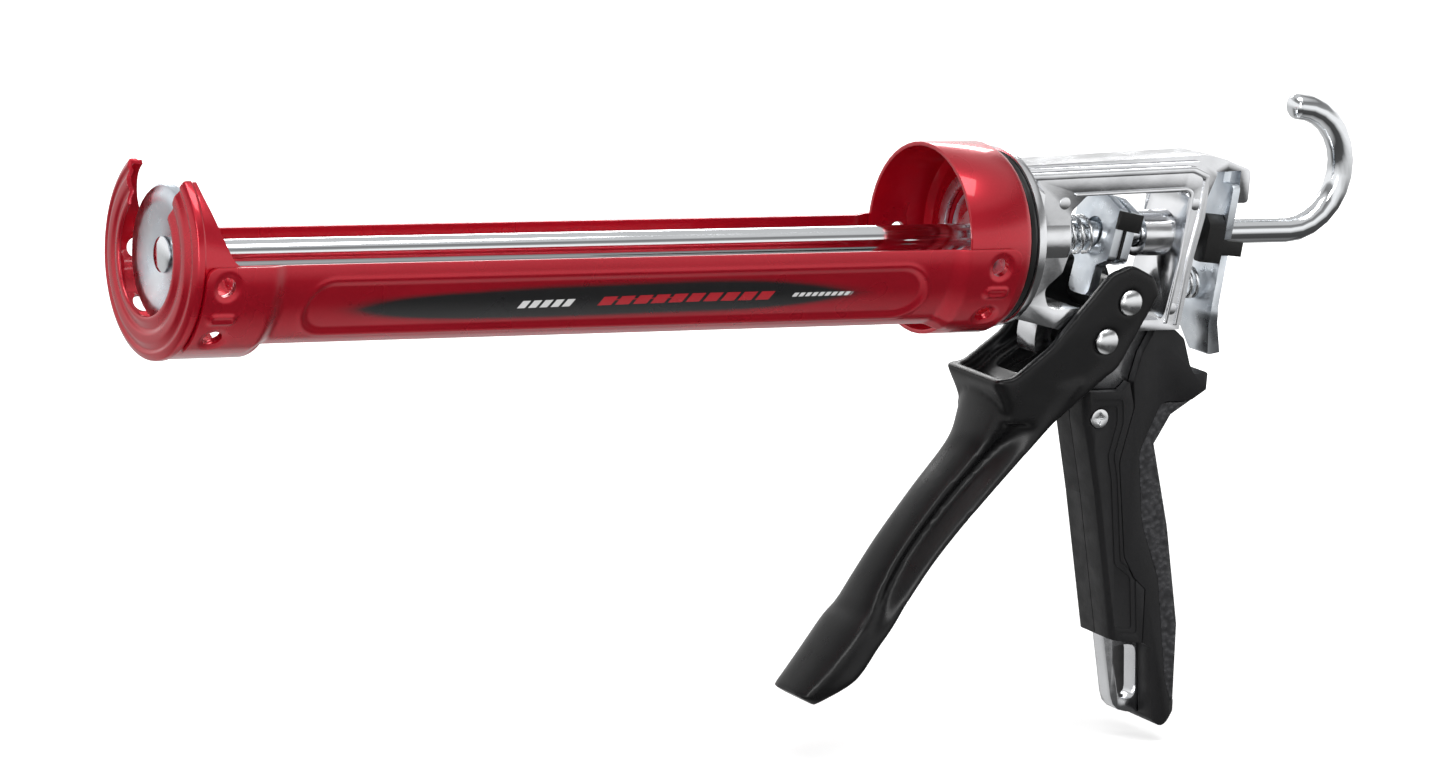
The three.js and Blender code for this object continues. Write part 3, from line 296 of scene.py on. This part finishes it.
def printed_band(finish):
    """Where the near rail's print is black, red and pale, each as a mask."""
    x, y, z = finish.split()
    # In mm, along the rail from the ring and up the rail's curve from the level.
    along_rail = (x - RING) * 1000
    arc = z.turn_from(0 - y) * (RAIL - SHEET / 2)
    middle = finish.make("ShaderNodeMapRange", {}, {
        0: along_rail, 1: -163.0, 2: -92.0, 3: -12.4, 4: -11.4,
    })
    half = finish.spread(along_rail, -214, -130, 4.6, 7.2) * finish.spread(along_rail, -20, -88, 0.5, 1)
    ends = finish.spread(along_rail, -216, -168) * finish.spread(along_rail, -20, -72)
    above = arc - middle
    outside = (y * y + z * z).above((RAIL - SHEET) ** 2 * 1e-6 * 0.98)
    near = (0 - y).above(0.012) * outside
    share = finish.make("ShaderNodeMath", {"operation": "DIVIDE"}, {0: above.size(), 1: half + 0.05})
    depth = (1 - share).most(0)
    spot = finish.make("ShaderNodeCombineXYZ", {}, {0: along_rail, 1: above, 2: 0.0})
    tilted = finish.make("ShaderNodeMapping", {}, {"Vector": spot, "Rotation": (0, 0, math.radians(45))})
    dots = finish.make("ShaderNodeTexVoronoi", {}, {"Vector": tilted, "Scale": 1.5, "Randomness": 0.0})
    black = finish.spread(depth * ends * 1.8 - dots, -0.06, 0.06) * near
    slanted = along_rail - above * 0.5

    def row(first, last, pitch, share, low, high):
        """A row of slanted bars, between two places along the rail and two heights."""
        inside = slanted.above(first) * slanted.below(last) * above.above(low) * above.below(high)
        return inside * ((slanted - first) * (1 / pitch)).fraction().below(share) * near

    red = row(-122, -64, 5.8, 0.78, -1.5, 1.5).most(row(-122, -98, 24, 1.0, 0.2, 0.5))
    pale = row(-148, -130, 3.6, 0.7, -1.4, 1.2).most(row(-58, -38, 2.2, 0.7, -0.7, 0.7))
    return black, red, pale


def red_paint(name, printed=False):
    finish = Finish(name)
    flakes = finish.cells(2600)
    drift = finish.noise(18, 2)
    colour = finish.mix(drift, (0.46, 0.001, 0.014), (0.56, 0.002, 0.020))
    grain = finish.spread(finish.noise(1500, 2), 0.35, 0.75)
    colour = finish.mix(grain * 0.2, colour, (0.60, 0.012, 0.035))
    rough = finish.spread(finish.noise(60, 3), 0.3, 0.7, 0.26, 0.33)
    metal = PAINT_METAL
    if printed:
        black, red, pale = printed_band(finish)
        colour = finish.mix(black, colour, (0.012, 0.012, 0.013))
        colour = finish.mix(red, colour, (0.45, 0.01, 0.02))
        colour = finish.mix(pale, colour, (0.75, 0.75, 0.75))
        metal = (1 - black.most(pale)) * PAINT_METAL
    return finish.surface(
        Base_Color=colour, Metallic=metal, Roughness=rough, Coat_Weight=0.7, Coat_Roughness=0.03,
        Normal=finish.bump(flakes, 0.00001, 0.12),
    )


def cast_aluminium():
    finish = Finish("cast_aluminium")
    cloud = finish.noise(55, 4)
    colour = finish.mix(finish.spread(cloud, 0.3, 0.7), (0.76, 0.77, 0.79), (0.90, 0.91, 0.93))
    rough = finish.spread(finish.noise(160, 4), 0.3, 0.7, 0.13, 0.24)
    skin = finish.noise(420, 3)
    ripple = finish.noise(90, 2)
    return finish.surface(
        Base_Color=colour, Metallic=1.0, Roughness=rough,
        Normal=finish.bump(skin * 0.3 + ripple, 0.0003, 0.25),
    )


def zinc_plate():
    finish = Finish("zinc_plate")
    cloud = finish.noise(70, 4)
    colour = finish.mix(finish.spread(cloud, 0.3, 0.7), (0.70, 0.76, 0.82), (0.86, 0.90, 0.94))
    rough = finish.spread(finish.noise(300, 3), 0.3, 0.7, 0.26, 0.38)
    return finish.surface(
        Base_Color=colour, Metallic=1.0, Roughness=rough,
        Normal=finish.bump(finish.noise(500, 3), 0.0001, 0.2),
    )


def bright_steel(name, tone, rough_low, rough_high, stretch):
    finish = Finish(name)
    lines = finish.noise(700, 3, stretch=stretch)
    pale = tuple(min(1.0, t * 1.12) for t in tone)
    colour = finish.mix(lines, tone, pale)
    rough = finish.spread(lines, 0.3, 0.7, rough_low, rough_high)
    return finish.surface(
        Base_Color=colour, Metallic=1.0, Roughness=rough, Normal=finish.bump(lines, 0.00002, 0.1),
    )


def black_finish(name, tone, rough_low, rough_high, grain, depth):
    finish = Finish(name)
    tint = finish.noise(40, 3)
    colour = finish.mix(tint, tuple(t * 0.8 for t in tone), tuple(t * 1.25 for t in tone))
    rough = finish.spread(finish.noise(220, 3), 0.3, 0.7, rough_low, rough_high)
    return finish.surface(
        Base_Color=colour, Roughness=rough, Specular_IOR_Level=0.3,
        Normal=finish.bump(finish.noise(grain, 3), depth, 0.3),
    )


def pebbled_rubber():
    finish = Finish("grip_rubber")
    pebbles = finish.cells(620, "SMOOTH_F1")
    # Painted shade: the rubber's colour darkens in the creases between the pebbles, where shade falls, and
    # stays lighter on the pebble tops.
    crease_shade = finish.spread(pebbles, 0.15, 0.75)
    colour = finish.mix(crease_shade, (0.042, 0.042, 0.046), (0.014, 0.014, 0.016))
    return finish.surface(
        Base_Color=colour, Roughness=finish.spread(pebbles, 0.1, 0.8, 0.42, 0.7),
        Normal=finish.bump(1 - pebbles, 0.0007, 0.9),
    )


EVEN = (1, 1, 1)
FINISHES = {
    "red_paint": red_paint("red_paint"),
    "cast_aluminium": cast_aluminium(),
    "zinc_plate": zinc_plate(),
    "chrome_rod": bright_steel("chrome_rod", (0.80, 0.82, 0.84), 0.06, 0.13, (0.05, 1, 1)),
    "spring_steel": bright_steel("spring_steel", (0.66, 0.67, 0.68), 0.2, 0.3, EVEN),
    "pin_steel": bright_steel("pin_steel", (0.78, 0.79, 0.80), 0.16, 0.26, EVEN),
    "black_paint": black_finish("black_paint", (0.007, 0.007, 0.0075), 0.27, 0.34, 900, 0.00006),
    "black_plastic": black_finish("black_plastic", (0.010, 0.010, 0.010), 0.35, 0.5, 700, 0.00008),
    "grip_plastic": black_finish("grip_plastic", (0.013, 0.013, 0.014), 0.42, 0.54, 1100, 0.00012),
    "grip_rubber": pebbled_rubber(),
}
RED_PRINTED = red_paint("red_paint_printed", True)
SLOTS = {entry["node"]: entry["material_slot"] for entry in frame["record"]["subparts"]}


# ---------- shapes ----------

def loose(form, name):
    """A bmesh as an object that isn't yet part of the gun."""
    mesh = bpy.data.meshes.new(name)
    form.to_mesh(mesh)
    form.free()
    piece = bpy.data.objects.new(name, mesh)
    bpy.context.collection.objects.link(piece)
    return piece


def dress(piece, body, slot):
    """Gives a piece the finish in a slot and the body that it rides on."""
    piece.data.materials.clear()
    piece.data.materials.append(FINISHES[slot])
    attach(piece, body)


def put(form, name, body, slot):
    """Ends a bmesh as a piece that rides on a body."""
    for face in form.faces:
        face.smooth = True
    piece = loose(form, name)
    dress(piece, body, slot)
    return piece


def weld(piece):
    """Merges the corners that lie on one another."""
    piece.modifiers.new("weld", "WELD").merge_threshold = 0.00001


def copy_of(node, name):
    """A copy of a CAD node's mesh, whose doubled corners merge."""
    piece = bpy.data.objects.new(name, NODES[node].data.copy())
    bpy.context.collection.objects.link(piece)
    weld(piece)
    return piece


def soften(piece, width, angle=32, segments=2):
    """Rounds a piece's hard edges and shades the rest smoothly."""
    weld(piece)
    if width:
        bevel = piece.modifiers.new("edges", "BEVEL")
        bevel.width = width
        bevel.segments = segments
        bevel.limit_method = "ANGLE"
        bevel.angle_limit = math.radians(angle)
        bevel.use_clamp_overlap = True
    split = piece.modifiers.new("shade", "EDGE_SPLIT")
    split.split_angle = math.radians(angle)


# How far each CAD node's hard edges are rounded, in mm, where it isn't the usual distance.
USUAL_EDGE = 0.15
EDGES = {
    "rear_ring": 0.25, "swivel_washer": 0.25, "push_rod": 0, "frame_casting": 0.55, "brake_plate": 0.45,
    "drive_plate_front": 0.35, "drive_plate_rear": 0.35, "grip_cover_left": 0.7, "grip_cover_right": 0.7,
    "grip_spine": 0.7, "grip_pad": 0.8, "drive_spring": 0, "brake_spring": 0, "drip_switch": 0.5,
    "drive_plate_clip": 0.3, "drive_roller": 0.3,
}


def finish_frame():
    for name, piece in NODES.items():
        piece.data.materials.clear()
        piece.data.materials.append(FINISHES[SLOTS[name]])
        for face in piece.data.polygons:
            face.use_smooth = True
        soften(piece, EDGES.get(name, USUAL_EDGE) * MM)


def settled(piece):
    """Works a piece's modifiers into its mesh."""
    piece.data.update()
    bpy.context.view_layer.update()
    shown = piece.evaluated_get(bpy.context.evaluated_depsgraph_get())
    mesh = bpy.data.meshes.new_from_object(shown)
    piece.modifiers.clear()
    piece.data = mesh
    for face in mesh.polygons:
        face.use_smooth = True


def discard(piece):
    """Takes away an object that has done its work, and its mesh."""
    mesh = piece.data
    bpy.data.objects.remove(piece)
    bpy.data.meshes.remove(mesh)


def cut(piece, cutters):
    """Takes the cutters' shapes out of the piece."""
    for cutter in cutters:
        boolean = piece.modifiers.new("cut", "BOOLEAN")
        boolean.operation = "DIFFERENCE"
        boolean.solver = "EXACT"
        boolean.object = cutter
    settled(piece)
    for cutter in cutters:
        discard(cutter)


def rounded(points, radius, steps=4):
    """A closed outline with its corners rounded, as a list of pairs."""
    path = []
    count = len(points)
    for i, point in enumerate(points):
        corner = Vector(point)
        before = Vector(points[i - 1]) - corner
        after = Vector(points[(i + 1) % count]) - corner
        reach = min(radius, before.length * 0.48, after.length * 0.48)
        start = corner + before.normalized() * reach
        end = corner + after.normalized() * reach
        for step in range(steps + 1):
            t = step / steps
            path.append(start * (1 - t) ** 2 + corner * 2 * t * (1 - t) + end * t * t)
    return path


def extruded(corners, shift):
    """A block that a flat outline sweeps as it moves, in metres."""
    form = bmesh.new()
    face = form.faces.new([form.verts.new(corner) for corner in corners])
    moved = bmesh.ops.extrude_face_region(form, geom=[face])["geom"]
    bmesh.ops.translate(form, verts=[v for v in moved if isinstance(v, bmesh.types.BMVert)], vec=shift)
    bmesh.ops.recalc_face_normals(form, faces=form.faces)
    return form


def side_solid(points, low, high):
    """A block whose outline is seen from the side, in mm, from one y to another."""
    return extruded([(RING + x * MM, low * MM, z * MM) for x, z in points], (0, (high - low) * MM, 0))


def front_solid(points, low, high):
    """A block whose outline is seen from the front, in mm, from one x to another."""
    return extruded([(RING + low * MM, y * MM, z * MM) for y, z in points], ((high - low) * MM, 0, 0))


def peg(radius, depth, turn, segments=32):
    """A round bar, in mm, that a matrix turns and moves."""
    form = bmesh.new()
    bmesh.ops.create_cone(
        form, cap_ends=True, segments=segments, radius1=radius * MM, radius2=radius * MM, depth=depth * MM,
    )
    bmesh.ops.transform(form, verts=form.verts, matrix=turn)
    return form


def radial_cutter(x, degrees, side):
    """A round cutter through the barrel's wall, at an angle from the level."""
    angle = math.radians(degrees)
    out = Vector((0, side * math.cos(angle), math.sin(angle)))
    turn = out.to_track_quat("Z", "Y").to_matrix().to_4x4()
    place = Vector((RING + x * MM, 0, 0)) + out * 29 * MM
    return loose(peg(HOLE_RADIUS, 16, Matrix.Translation(place) @ turn), "cutter")


def ease(value, low, high):
    t = min(1, max(0, (value - low) / (high - low)))
    return t * t * (3 - 2 * t)


# ---------- barrel ----------

# Radii of the cup's skirt and bead, and outside radii of the rails' tabs over the cup and the ring, in mm.
SKIRT = 28.9
BEAD = 29.3
CUP_TAB = SKIRT + 0.3 + SHEET
RING_TAB = 28.5 + 0.3 + SHEET
CUP_FRONT = -252
# The rails' ends and their pressed panel's ends, in mm from the ring, and their edges, in degrees from
# the level.
RAIL_FRONT = -249.4
RAIL_REAR = 17
RAIL_TOP = 3.8
RAIL_LOW = -58
PANEL_FRONT = -217
PANEL_REAR = -13
PANEL_MIDDLE = -25
PANEL_HALF = 18.5
# The tabs' holes and, at each end, the embossed slot between them.
HOLES = (-7, -40)
HOLE_X = (-243, 10)
HOLE_RADIUS = 2.8
LOZENGE = {-243: -25, 10: -22}


def along(x):
    """The rail's outer radius along its length."""
    front = ease(x, -229.6, -223.4)
    rear = ease(x, -6.4, -0.2)
    return CUP_TAB + (RAIL - CUP_TAB) * front + (RING_TAB - RAIL) * rear


def capsule(x, z, x_low, x_high, half):
    """Distance outside a level capsule with round ends."""
    reach = min(max(x, x_low + half), x_high - half)
    return math.hypot(x - reach, z) - half


def rail_radius(x, degrees):
    """The rail's outer radius with its panel, its dimples and its embossed slots."""
    radius = along(x)
    across = math.radians(degrees - PANEL_MIDDLE) * RAIL
    half = math.radians(PANEL_HALF) * RAIL
    panel = capsule(x, across, PANEL_FRONT, PANEL_REAR, half)
    radius -= 0.95 * (1 - ease(panel, -1.9, 0.1))
    radius += 0.16 * math.exp(-((panel - 0.5) / 0.7) ** 2)
    radius -= 0.9 * ease(-degrees, 43, 60)
    for hole_x in HOLE_X:
        for angle in HOLES:
            gap = math.hypot(x - hole_x, math.radians(degrees - angle) * 29)
            radius -= 0.75 * (1 - ease(gap, 2.4, 4.6))
        place = LOZENGE[hole_x]
        lozenge = capsule(x - hole_x, math.radians(degrees - place) * 29, -4.4, 4.4, 1.9)
        radius += 0.75 * (1 - ease(lozenge, -1.2, 0.5)) - 0.45 * (1 - ease(lozenge, -1.75, -0.9))
    return radius


def corner_inset(distance, radius):
    """How far a rounded corner draws its edge in, at a distance from the end."""
    if distance >= radius:
        return 0
    return radius - math.sqrt(max(0, radius ** 2 - (radius - distance) ** 2))


def make_rail(side, name):
    form = bmesh.new()
    bmesh.ops.create_grid(form, x_segments=440, y_segments=58, size=0.5)
    for vert in form.verts:
        x = RAIL_FRONT + (RAIL_REAR - RAIL_FRONT) * (vert.co.x + 0.5)
        share = vert.co.y + 0.5
        inset = corner_inset(min(x - RAIL_FRONT, RAIL_REAR - x), 3.5)
        trim = math.degrees(inset / 29)
        degrees = (RAIL_TOP - trim) * (1 - share) + (RAIL_LOW + trim) * share
        radius = rail_radius(x, degrees) * MM
        angle = math.radians(degrees)
        vert.co = (RING + x * MM, side * radius * math.cos(angle), radius * math.sin(angle))
    bmesh.ops.recalc_face_normals(form, faces=form.faces)
    first = form.faces[:][0]
    if first.normal.dot(first.calc_center_median() * Vector((0, 1, 1))) < 0:
        bmesh.ops.reverse_faces(form, faces=form.faces)
    rail = put(form, name, "barrel", "red_paint")
    wall = rail.modifiers.new("wall", "SOLIDIFY")
    wall.thickness = SHEET * MM
    wall.offset = -1
    settled(rail)
    cut(rail, [radial_cutter(x, angle, side) for x in HOLE_X for angle in HOLES])
    soften(rail, 0.28 * MM, 40)
    if side < 0:
        rail.data.materials[0] = RED_PRINTED
    return rail


def make_cup():
    """The front cup with its rounded steps, its hole and the slot above it."""
    outline = rounded([
        (26, SKIRT), (2.6, SKIRT), (2.2, BEAD), (0.1, BEAD), (-0.9, 27.3), (-0.25, 26.1), (-1.5, 24.2),
        (-1.5, 21.8), (-0.8, 20.5), (-1.9, 18.3), (-1.75, 17), (-0.75, 17), (-0.65, 18.2), (0.45, 20.5),
        (-0.25, 21.8), (-0.25, 23.9), (1.0, 26), (0.4, 27), (1.2, 28.1), (2.9, SKIRT - SHEET),
        (26, SKIRT - SHEET),
    ], 0.55, 3)
    form = bmesh.new()
    ring = [form.verts.new((RING + (CUP_FRONT + x) * MM, 0, r * MM)) for x, r in outline]
    edges = [form.edges.new((ring[i - 1], ring[i])) for i in range(len(ring))]
    bmesh.ops.spin(
        form, geom=ring + edges, cent=(0, 0, 0), axis=(1, 0, 0), angle=2 * math.pi, steps=144, use_merge=True,
    )
    bmesh.ops.remove_doubles(form, verts=form.verts, dist=1e-6)
    bmesh.ops.recalc_face_normals(form, faces=form.faces)
    cup = put(form, "front_cup_shell", "barrel", "red_paint")
    hole, half_slot = 17, 12
    foot = math.sqrt(hole ** 2 - half_slot ** 2) - 1
    slot = front_solid([
        (-half_slot, foot), (half_slot, foot), (14.2, 17.5), (17.3, 24), (17.3, 40), (-17.3, 40), (-17.3, 24),
        (-14.2, 17.5),
    ], CUP_FRONT - 5, CUP_FRONT + 27)
    behind = side_solid(rounded([(CUP_FRONT + x, z) for x, z in (
        (3.8, 40), (3.8, 21.5), (7.8, 10), (11.9, 1.8), (26, 0.1), (31, 0.1), (31, 40),
    )], 3.5, 6), -40, 40)
    cutters = [loose(slot, "slot"), loose(behind, "behind")]
    cutters += [radial_cutter(HOLE_X[0], angle, side) for angle in HOLES for side in (-1, 1)]
    cut(cup, cutters)
    soften(cup, 0.3 * MM, 45)
    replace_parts(cup, "front_cup")


# ---------- trigger ----------

# Sections across the lever in mm, from its root to its tip: the front and rear points seen from the side,
# half the width at each, and how deep the sides are scooped.
LEVER = [
    ((25, -46), (58, -42), 14.2, 14.8, 0),
    ((23.6, -55), (47.5, -54), 12.8, 14.8, 0.8),
    ((20, -63.6), (38, -64), 10.4, 14.4, 3.0),
    ((8.4, -77.6), (23, -80), 9.4, 13.8, 3.8),
    ((-2.4, -92), (10, -95), 9.2, 13.4, 3.4),
    ((-9.5, -103.5), (1.6, -107), 9.6, 13, 2.2),
    ((-13.4, -111), (-3.6, -116), 10.6, 12.6, 0.6),
    ((-17.6, -116.2), (-8.2, -122.4), 11.4, 12.6, 0),
    ((-26, -127.2), (-15.4, -132.4), 10.8, 12.2, 0),
    ((-33.4, -136.4), (-27, -139.8), 9, 8.4, 0),
]
YOKE_END = [(-70, -150), (70, -150), (70, -60), (46, -57), (34, -55), (20, -54), (-70, -54)]


def on_curve(values, place):
    """A smooth curve through evenly spaced values, at a place from 0 to 1."""
    position = place * (len(values) - 1)
    i = min(int(position), len(values) - 2)
    t = position - i
    p0, p1, p2, p3 = (values[min(max(i + k, 0), len(values) - 1)] for k in (-1, 0, 1, 2))
    slope_in = (p2 - p0) / 2
    slope_out = (p3 - p1) / 2
    return (
        (2 * t ** 3 - 3 * t ** 2 + 1) * p1 + (t ** 3 - 2 * t ** 2 + t) * slope_in
        + (3 * t ** 2 - 2 * t ** 3) * p2 + (t ** 3 - t ** 2) * slope_out
    )


def lever_half_width(depth, front, rear, scoop):
    """Half the lever's width, at a depth from 0 at its front to 1 at its rear."""
    width = front + (rear - front) * ease(depth, 0.4, 0.95)
    width -= scoop * math.exp(-((depth - 0.44) / 0.2) ** 2)
    if depth < 0.3:
        width *= max(0, 1 - (1 - max(0, depth) / 0.3) ** 2.3) ** (1 / 2.3)
    if depth > 0.84:
        width *= max(0, 1 - ((depth - 0.84) / 0.16) ** 2.6) ** (1 / 2.6)
    return width


def lever_form():
    """The lever below the yoke, lofted through its sections."""
    form = bmesh.new()
    bmesh.ops.create_grid(form, x_segments=110, y_segments=96, size=0.5)
    fronts, rears = ([Vector((*row[k], 0)) for row in LEVER] for k in (0, 1))
    for vert in form.verts:
        place = vert.co.x + 0.5
        round_trip = 2 * (vert.co.y + 0.5)
        side = 1 if round_trip < 1 else -1
        depth = (1 - math.cos(math.pi * min(1, abs(round_trip - (0 if side > 0 else 2))))) / 2
        front, rear = on_curve(fronts, place), on_curve(rears, place)
        widths = (on_curve([row[k] for row in LEVER], place) for k in (2, 3, 4))
        spot = front.lerp(rear, depth)
        half = lever_half_width(depth, *widths)
        vert.co = (RING + spot.x * MM, side * half * MM, spot.y * MM)
    bmesh.ops.remove_doubles(form, verts=form.verts, dist=1e-6)
    rim = [edge for edge in form.edges if edge.is_boundary]
    bmesh.ops.holes_fill(form, edges=rim, sides=0)
    bmesh.ops.recalc_face_normals(form, faces=form.faces)
    return form


# What the lever makes room for, in mm: the channel under the yoke, the strap's slot, and the grip's front.
CHANNEL = [(33, -53), (34, -47.5), (43, -41.5), (51.5, -38), (72, -38), (72, -58), (42, -58), (36, -55.5)]
STRAP_SLOT = [(35.2, -51), (57, -51), (57, -20), (35.2, -20)]
GRIP_FRONT = [(57.6, -20), (57.6, -44), (59.4, -57), (65.8, -80), (76.4, -125), (110, -125), (110, -20)]
PIVOT = (60.7, -30.1)
PULL = math.radians(36)


def seen_from_pulled_trigger(points):
    """Where a side-view outline of the grip lies for the trigger when it is pulled all the way."""
    turned = []
    for x, z in points:
        across, up = x - PIVOT[0], z - PIVOT[1]
        turned.append((
            PIVOT[0] + across * math.cos(PULL) + up * math.sin(PULL),
            PIVOT[1] - across * math.sin(PULL) + up * math.cos(PULL),
        ))
    return turned


def make_trigger():
    """The CAD node's yoke with a smoother lever grown out of it."""
    trigger = copy_of("trigger", "trigger_lever")
    cut(trigger, [loose(side_solid(YOKE_END, -30, 30), "yoke_end")])
    lever = loose(lever_form(), "lever")
    cut(lever, [
        loose(side_solid(CHANNEL, -10.9, 10.9), "channel"),
        loose(side_solid(STRAP_SLOT, -6.2, 6.2), "strap_slot"),
        loose(side_solid(seen_from_pulled_trigger(GRIP_FRONT), -12, 12), "grip_front"),
    ])
    form = bmesh.new()
    form.from_mesh(trigger.data)
    form.from_mesh(lever.data)
    form.to_mesh(trigger.data)
    form.free()
    discard(lever)
    remesh = trigger.modifiers.new("remesh", "REMESH")
    remesh.mode = "VOXEL"
    remesh.voxel_size = 0.7 * MM
    smooth = trigger.modifiers.new("smooth", "SMOOTH")
    smooth.factor = 0.5
    smooth.iterations = 14
    settled(trigger)
    dress(trigger, "trigger", "black_paint")
    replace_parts(trigger, "trigger")


# ---------- springs ----------

def make_spring(node):
    """A copy of a CAD spring, fixed to the frame in place of the CAD node."""
    spring = copy_of(node, node + "_coil")
    settled(spring)
    dress(spring, "frame", SLOTS[node])
    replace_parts(spring, node)
    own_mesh(spring)


# ---------- casting ----------

# Outlines of the raised lips along the beam and the pillar, and the middles of the mould's round marks,
# all in mm and seen from the side.
LIPS = [
    [(30, 20.3), (90, 21.9), (95.6, 19.6), (93.9, 6.4), (91.2, -5.7), (88.6, -26.6), (87.6, -26.6),
     (90, -5.6), (92.6, 6.6), (93.9, 18.6), (89.6, 20.2), (30, 18.6)],
    [(47, 14.6), (88.4, 15.9), (90.4, 14.2), (88.9, -0.3), (88.2, -6.7), (85, -26), (83.9, -26),
     (87, -6.7), (87.7, -0.3), (88.9, 13.4), (87.6, 14.7), (47, 13.6)],
]
MARKS = [(43.6, 11.6), (91.4, 10.6), (86.2, -21.4)]


def make_casting_details():
    """Raised lips along the casting's beam and pillar, and the round marks the mould leaves."""
    for side, label in ((-1, "near"), (1, "far")):
        for i, lip in enumerate(LIPS):
            form = side_solid(rounded(lip, 1.2), *sorted((side * 10.4, side * 11.35)))
            piece = put(form, f"{label}_lip_{i + 1}", "frame", "cast_aluminium")
            soften(piece, 0.32 * MM, 40, 3)
        for i, (x, z) in enumerate(MARKS):
            place = Matrix.Translation((RING + x * MM, side * 10.5 * MM, z * MM))
            form = peg(1.9, 0.9, place @ Matrix.Rotation(math.pi / 2, 4, "X"))
            piece = put(form, f"{label}_mark_{i + 1}", "frame", "cast_aluminium")
            soften(piece, 0.12 * MM, 40)
    place = Matrix.Translation((RING + 39.6 * MM, 0, 0))
    form = peg(11.9, 15, place @ Matrix.Rotation(math.pi / 2, 4, "Y"), 64)
    bulge = put(form, "neck_bulge", "frame", "cast_aluminium")
    soften(bulge, 1.2 * MM, 40, 4)


# ---------- grip ----------

# The covers' two sunken panels, one inside the other: the outline in mm, seen from the side, how round
# its corners are, and how deep it lies.
PANELS = [
    ([(61.2, -49.2), (72.2, -49.2), (73.2, -56.4), (70.9, -66.7), (72.9, -73.7), (77.1, -99.8),
      (83.2, -104), (85.7, -123), (75.4, -122), (62.2, -70)], 1.4, 0.4),
    ([(63.2, -51.2), (70.5, -51.2), (71.2, -56.4), (69, -66.8), (71, -74), (75.3, -100.8),
      (81.5, -105), (83.8, -121.4), (76.6, -120.6), (64, -69.6)], 1.2, 0.8),
]
COVER_SIDE = 10.3


def make_grip_panels():
    """Sinks the panels into the covers' sides."""
    for node, side in (("grip_cover_left", -1), ("grip_cover_right", 1)):
        cutters = []
        for outline, corner, depth in PANELS:
            low, high = sorted((side * (COVER_SIDE - depth), side * 12))
            cutters.append(loose(side_solid(rounded(outline, corner), low, high), "panel"))
        piece = copy_of(node, node + "_shell")
        cut(piece, cutters)
        soften(piece, 0.45 * MM, 28, 3)
        dress(piece, "frame", "grip_plastic")
        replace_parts(piece, node)


make_camera()
make_stage()
make_lights()
finish_frame()
for rail_side, rail_name in ((-1, "rail_left"), (1, "rail_right")):
    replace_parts(make_rail(rail_side, rail_name + "_sheet"), rail_name)
make_cup()
make_trigger()
make_grip_panels()
make_casting_details()
make_spring("drive_spring")
make_spring("brake_spring")

bpy.context.scene.view_settings.view_transform = "Standard"
